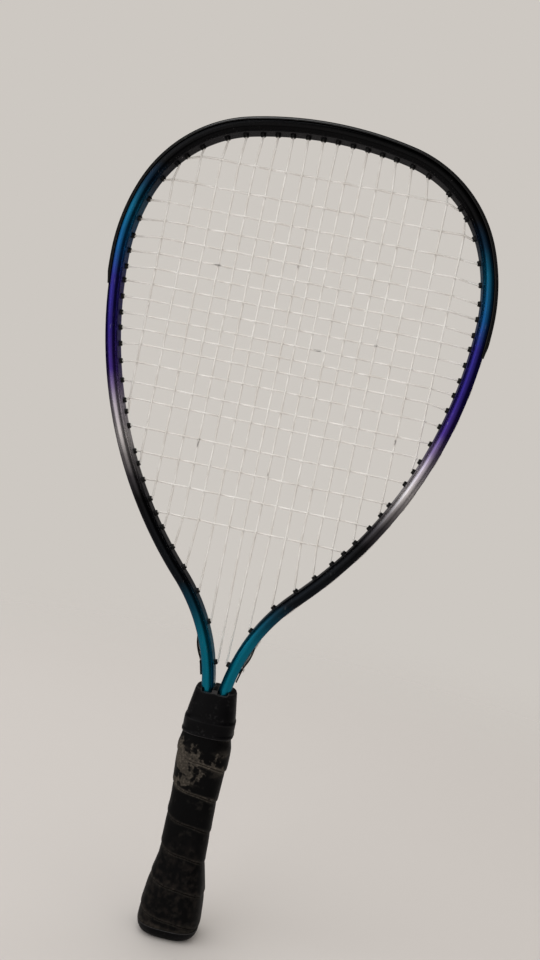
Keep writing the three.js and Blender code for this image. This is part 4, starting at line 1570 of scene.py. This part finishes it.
@dataclass
class GripWrap:
    """One strip wound round the handle, each turn lapping over the one below it."""

    form: HandleForm
    material: Material
    thickness: float = 2.0
    pitch: float = 21.75
    seam: float = 0.4
    bottom: float = 8.3
    front_seam: float = 122.5
    turn_steps: int = 90
    relief: Profile = (
        (0.0, -0.3), (0.006, 0.05), (0.018, 0.26), (0.04, 0.36), (0.08, 0.38), (0.14, 0.32),
        (0.22, 0.24), (0.32, 0.16), (0.44, 0.1), (0.56, 0.04), (0.68, -0.02), (0.8, -0.12),
        (0.88, -0.22), (0.94, -0.34), (0.975, -0.46), (0.992, -0.6), (1.0, -0.9),
    )
    dents: float = 0.35
    dent_size: float = 14.0
    overrun: float = 6.0
    sharp_angle: float = 50.0

    def surface(self, turn: int, height: float, lift: float) -> Vector:
        """A point of the wrap, dented a little by use.

        Args:
            turn: how many steps the point is wound round from the front.
            height: its height.
            lift: how far it stands proud of the grip's radius.

        Returns:
            The point.
        """
        angle = math.tau * turn / self.turn_steps - math.pi / 2
        radius = self.form.radius_at(height) + lift
        dent = noise.noise(self.form.point(angle, radius, height) / self.dent_size) * self.dents
        return self.form.point(angle, radius + dent, height)

    def ring(self, turn: int) -> Ring:
        """The strip's section, with its relief outside and half as many points inside.

        Args:
            turn: how many steps it is wound round from the front.

        Returns:
            The section there.
        """
        low = self.front_seam - self.pitch * turn / self.turn_steps + self.seam / 2
        rows = [(low + share * (self.pitch - self.seam), lift) for share, lift in self.relief]
        outer = [self.surface(turn, height, lift) for height, lift in rows]
        return outer + [self.surface(turn, height, -self.thickness) for height, _ in rows[::-2]]

    def build(self) -> None:
        """Makes the strip and cuts it level at both ends."""
        top = self.form.wrap_top
        first = math.floor(((self.front_seam - top) / self.pitch - 1) * self.turn_steps)
        last = math.ceil(((self.front_seam - self.bottom) / self.pitch + 1) * self.turn_steps)
        shape = loft([self.ring(turn) for turn in range(first, last + 1)])
        wide = self.form.grip_radius + self.form.flare_width + self.overrun
        keep = block(Vector((-wide, -wide, self.bottom)), Vector((wide, wide, top)))
        wrap = Piece("spiral_wrap", shape, "wrap_rubber", self.sharp_angle)
        wrap.cut(keep, Cut.KEEP)
        wrap.finish(self.material, "grip_wrap")


@dataclass
class ButtCap:
    """The rubber cap over the end of the handle, with two holes for a tether."""

    form: HandleForm
    material: Material
    rim_height: float = 8.0
    flat_radius: float = 14.0
    radius: float = 21.1
    floor: float = 3.6
    skirt_top: float = 24.0
    skirt_radius: float = 18.1
    skirt_thickness: float = 2.0
    hole_radius: float = 2.2
    hole_offset: float = 6.2
    hole_sides: int = 32
    dome_steps: int = 10
    bead: float = 0.5
    bead_steps: int = 3
    sharp_angle: float = 40.0

    def build(self) -> None:
        """Makes the cap and its tether holes."""
        outline: Outline = [(self.form.axis_radius, 0.0)]
        for step in range(self.dome_steps + 1):
            angle = math.pi / 2 * step / self.dome_steps
            radius = self.flat_radius + (self.radius - self.flat_radius) * math.sin(angle)
            outline.append((radius, self.rim_height * (1 - math.cos(angle))))
        skirt_inside = self.skirt_radius - self.skirt_thickness
        outline += [
            (self.radius - self.bead, self.rim_height),
            (self.skirt_radius, self.rim_height),
            (self.skirt_radius, self.skirt_top),
            (skirt_inside, self.skirt_top),
            (skirt_inside, self.floor),
            (self.form.axis_radius, self.floor),
        ]
        shape = self.form.turned(outline, self.bead, self.bead_steps)
        cap = Piece("butt_cap_rubber", shape, "collar_rubber", self.sharp_angle)
        drills = Shape()
        for side in Side:
            x = side.value * self.hole_offset
            ends = [Vector((x, 0, -self.floor)), Vector((x, 0, 2 * self.floor))]
            drills.add(round_tube(ends, self.hole_radius, self.hole_sides))
        cap.cut(drills)
        cap.finish(self.material, "butt_cap")


@dataclass
class Collar:
    """The rubber collar rolled over the top of the grip, round both shafts.

    Each profile holds distances past a radius and heights over a level. The radius is the skirt's
    for the lip and the step, and the top's for the top.
    """

    form: HandleForm
    centreline: Centreline
    section: TubeSection
    material: Material
    roof: float = 153.7
    shelf: float = 150.8
    tape_bottom: float = 145.0
    lip_height: float = 140.6
    step_height: float = 151.4
    top_height: float = 171.6
    inner_radius: float = 12.9
    space_radius: float = 16.79
    skirt: float = 0.6
    lip_profile: Profile = ((0.175, -0.1), (0.35, 0.9), (0.175, 1.9), (-0.1, 2.6), (0.0, 5.0))
    step_profile: Profile = ((0.0, -1.0), (-0.5, 0.0), (-0.9, 1.2), (-1.0, 3.0))
    top_profile: Profile = ((0.0, -2.4), (-0.8, -0.7), (-2.6, 0.0))
    top_inset: float = 0.8
    crown_rise: Span = (0.5, 0.7)
    rounding: float = 1.6
    rounding_steps: int = 4
    shaft_gap: float = 0.12
    channel_above: float = 8.0
    channel_below: float = 12.0
    channel_spacing: float = 3.0
    notch_half: float = 3.6
    notch_shift: float = 0.6
    notch_bottom: float = 169.2
    sharp_angle: float = 40.0

    def outline(self) -> Outline:
        """The collar's outline, from the axis out to its skirt and back over its top."""
        form = self.form
        top = form.radius_at(form.wrap_top)
        skirt, cap = self.space_radius + self.skirt, top - self.top_inset
        shelf_radius = top + (self.space_radius - form.radius_at(self.tape_bottom))
        profiles = (
            (skirt, self.lip_height, self.lip_profile),
            (skirt, self.step_height, self.step_profile),
            (cap, self.top_height, self.top_profile),
        )
        outer = [(radius + out, height + up) for radius, height, profile in profiles
                 for out, up in profile]
        return [
            (form.axis_radius, self.roof),
            (self.inner_radius, self.roof),
            (self.inner_radius, self.shelf),
            (shelf_radius, self.shelf),
            (self.space_radius, self.tape_bottom),
            (self.space_radius, self.lip_height),
            *outer,
            (cap / 2, self.top_height + self.crown_rise[0]),
            (form.axis_radius, self.top_height + self.crown_rise[1]),
        ]

    def shaft(self, side: Side) -> Shape:
        """The space of one shaft, a little wider than the tube.

        Args:
            side: the shaft's side.

        Returns:
            The space.
        """
        line, section = self.centreline, self.section
        start = line.bend_length - (self.top_height - line.bend_end_height) - self.channel_above
        end = line.bend_length + self.channel_below
        corners = section.corner(-1, self.shaft_gap)[::-1] + section.corner(1, self.shaft_gap)
        outline = TubeSection.mirrored(corners)
        stations = line.between(side.value * start, side.value * end, self.channel_spacing)
        return loft([s.ring(outline) for s in stations])

    def notch(self, side: Side) -> Shape:
        """The space before and behind one shaft, where the collar's rim is lower.

        Args:
            side: the shaft's side.

        Returns:
            The space.
        """
        x = side.value * (self.centreline.shaft_offset + self.notch_shift)
        left, right, top = x - self.notch_half, x + self.notch_half, self.top_height + self.rounding
        corners = [(left, top), (left, self.notch_bottom), (right, self.notch_bottom), (right, top)]
        outline = soften([Vector(corner) for corner in corners], self.rounding)
        reach = self.form.grip_radius + self.rounding
        return loft([[Vector((point.x, y, point.y)) for point in outline] for y in (-reach, reach)])

    def build(self) -> None:
        """Makes the collar, with the shafts' channels and a notch in its rim at each shaft."""
        shape = self.form.turned(self.outline(), self.rounding / 2, self.rounding_steps)
        collar = Piece("rubber_collar", shape, "collar_rubber", self.sharp_angle)
        for side in Side:
            collar.cut(self.shaft(side))
            collar.cut(self.notch(side))
        collar.finish(self.material, "collar")


# The studio


@dataclass(frozen=True)
class Lamp:
    """A square soft lamp that faces the middle of the racket, in metres and watts."""

    name: str
    place: Place
    size: float
    power: float
    aim: Place = (0.0, 0.0, 0.33)

    def build(self) -> None:
        """Puts the lamp up."""
        data = bpy.data.lights.new(self.name, "AREA")
        data.shape, data.size, data.energy = "SQUARE", self.size, self.power
        lamp = linked(self.name, data)
        lamp.location = self.place
        way = Vector(self.aim) - Vector(self.place)
        lamp.rotation_euler = way.to_track_quat("-Z", "Y").to_euler()


@dataclass
class Studio:
    """The floor, the pale surroundings, the lamps and the camera, which is placed in metres."""

    lens: float = 36.49
    camera_place: Place = (0.0488, -0.6465, 0.3537)
    camera_heading: float = 3.76
    camera_pitch: float = -3.33
    camera_roll: float = 11.84
    backdrop: Colour = srgb(205, 200, 194)
    fill: float = 1.21
    room: float = 0.05
    wall_glow: float = 0.13
    wall_edge: Span = (0.2, 0.8)
    side_glow: float = 0.04
    side_edge: Span = (0.2, 0.8)
    window: float = 0.55
    window_way: Place = (-0.2, -0.975, 0.09)
    window_edge: Span = (0.6, 0.95)
    glare: float = 0.95
    glare_edge: Span = (0.88, 0.99)
    floor_radius: float = 1400.0
    floor_gap: float = 0.05
    floor_paint: Colour = srgb(199, 196, 194)
    floor_fade: Span = (1250.0, 420.0)
    floor_sides: int = 96
    lamps: tuple[Lamp, ...] = (
        Lamp("key_lamp", (-1.7, -1.5, 1.6), 2.8, 30.0),
        Lamp("top_lamp", (-0.5, 0.3, 2.2), 1.6, 14.0),
    )

    def build_camera(self) -> None:
        """Sets the camera up at the photograph's angle."""
        data = bpy.data.cameras.new("camera")
        data.lens = self.lens
        camera = linked("camera", data)
        turns = ((self.camera_heading, "Z"), (90 + self.camera_pitch, "X"), (self.camera_roll, "Z"))
        turn = Matrix.Identity(4)
        for angle, axis in turns:
            turn = turn @ Matrix.Rotation(math.radians(angle), 4, axis)
        camera.matrix_world = Matrix.Translation(self.camera_place) @ turn
        bpy.context.scene.camera = camera

    def build_floor(self) -> None:
        """Lays a round pale floor just below the butt, which fades out towards its edge."""
        angles = [math.tau * side / self.floor_sides for side in range(self.floor_sides)]
        reach = self.floor_radius
        rim = [Vector((reach * math.cos(a), reach * math.sin(a), -self.floor_gap)) for a in angles]
        floor = linked("floor", Shape(rim, [tuple(range(len(rim)))]).mesh("floor"))
        shader = Shader("floor_paint", Roughness=0.9)
        x, y, _ = shader.place
        shader.feed("Base Color", self.floor_paint)
        shader.feed("Alpha", ((x * x + y * y) ** 0.5).step(*self.floor_fade))
        floor.data.materials.append(shader.material)

    def build_world(self) -> None:
        """Surrounds the racket with a pale backdrop.

        Its reflections show a dim room instead, with the wall behind, a paler side and one soft
        window with a brighter middle.
        """
        world = bpy.data.worlds.new("surroundings")
        world.use_nodes = True
        bpy.context.scene.world = world
        nodes = Nodes(world.node_tree)
        path = nodes.node("ShaderNodeLightPath").outputs
        seen, shiny, clear = (
            Signal(nodes, path[f"Is {kind} Ray"]) for kind in ("Camera", "Glossy", "Transmission")
        )
        way = nodes.node("ShaderNodeTexCoord").outputs["Generated"]
        dot = {"operation": "DOT_PRODUCT"}
        facing = nodes.node("ShaderNodeVectorMath", dot, {0: way, 1: self.window_way})
        ahead = Signal(nodes, facing.outputs["Value"])
        parts = nodes.node("ShaderNodeSeparateXYZ", inputs={"Vector": way})
        across, back = (Signal(nodes, parts.outputs[axis]) for axis in "XY")
        shine = self.room + self.wall_glow * back.step(*self.wall_edge)
        shine = shine + self.side_glow * across.step(*self.side_edge)
        shine = shine + self.window * ahead.step(*self.window_edge)
        shine = shine + self.glare * ahead.step(*self.glare_edge)
        strength = self.fill + shiny * (shine - self.fill)
        strength = strength + (1 - strength) * (seen + clear)
        inputs = {"Color": self.backdrop, "Strength": strength}
        shade = nodes.node("ShaderNodeBackground", inputs=inputs)
        nodes.node("ShaderNodeOutputWorld", inputs={"Surface": shade.outputs[0]})

    def build(self) -> None:
        """Builds the whole studio."""
        bpy.context.scene.view_settings.view_transform = "Standard"
        self.build_camera()
        self.build_world()
        self.build_floor()
        for lamp in self.lamps:
            lamp.build()


@dataclass
class HiddenParts:
    """The nodes of the frame that stay as they are, inside the handle, with their finishes."""

    nodes: dict[str, bpy.types.Object]
    finishes: tuple[tuple[PlainStuff, tuple[str, ...]], ...] = (
        (
            PlainStuff("handle_core", srgb(86, 84, 80), srgb(70, 68, 65), 0.0, 0.55, 3.0),
            ("front_pallet", "rear_pallet"),
        ),
        (
            PlainStuff("finishing_vinyl", srgb(38, 38, 40), srgb(28, 28, 30), 0.0, 0.4, 2.0),
            ("finishing_tape",),
        ),
        (
            PlainStuff("fastener_steel", srgb(184, 188, 192), srgb(160, 164, 170), 1.0, 0.28, 1.5),
            ("upper_pallet_screw", "lower_pallet_screw", "left_butt_tack", "right_butt_tack"),
        ),
        (
            PlainStuff("rivet_aluminium", srgb(196, 198, 200), srgb(176, 178, 180), 1.0, 0.32, 1.2),
            ("left_shaft_rivet", "right_shaft_rivet"),
        ),
    )

    def dress(self) -> None:
        """Gives each node its finish, named after its slot."""
        for stuff, names in self.finishes:
            slot, material = stuff.name, stuff.material()
            for name in names:
                node = self.nodes[name]
                node.data.materials.clear()
                node.data.materials.append(material)
                LOG.info("%s: kept, finished as %s", name, slot)


def main() -> None:
    """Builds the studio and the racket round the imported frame."""
    logging.basicConfig(level=logging.INFO, format="%(message)s")
    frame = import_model()
    Studio().build()
    centreline = Centreline()
    section = TubeSection()
    lacing = Lacing(centreline, section)
    FrameTube(centreline, section, lacing, FramePaint().material()).build()
    grommets = Grommets(centreline, section, lacing, GuardPlastic().material())
    grommets.build_guard()
    for side in Side:
        grommets.build_strip(side)
        grommets.build_throat(side)
    StringBed(centreline, lacing, grommets, StringNylon().material()).build()
    rubber = SoftRubber().material()
    form = HandleForm()
    GripWrap(form, WornWrap().material()).build()
    ButtCap(form, rubber).build()
    Collar(form, centreline, section, rubber).build()
    HiddenParts(frame["nodes"]).dress()
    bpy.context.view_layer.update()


if __name__ == "__main__":
    main()
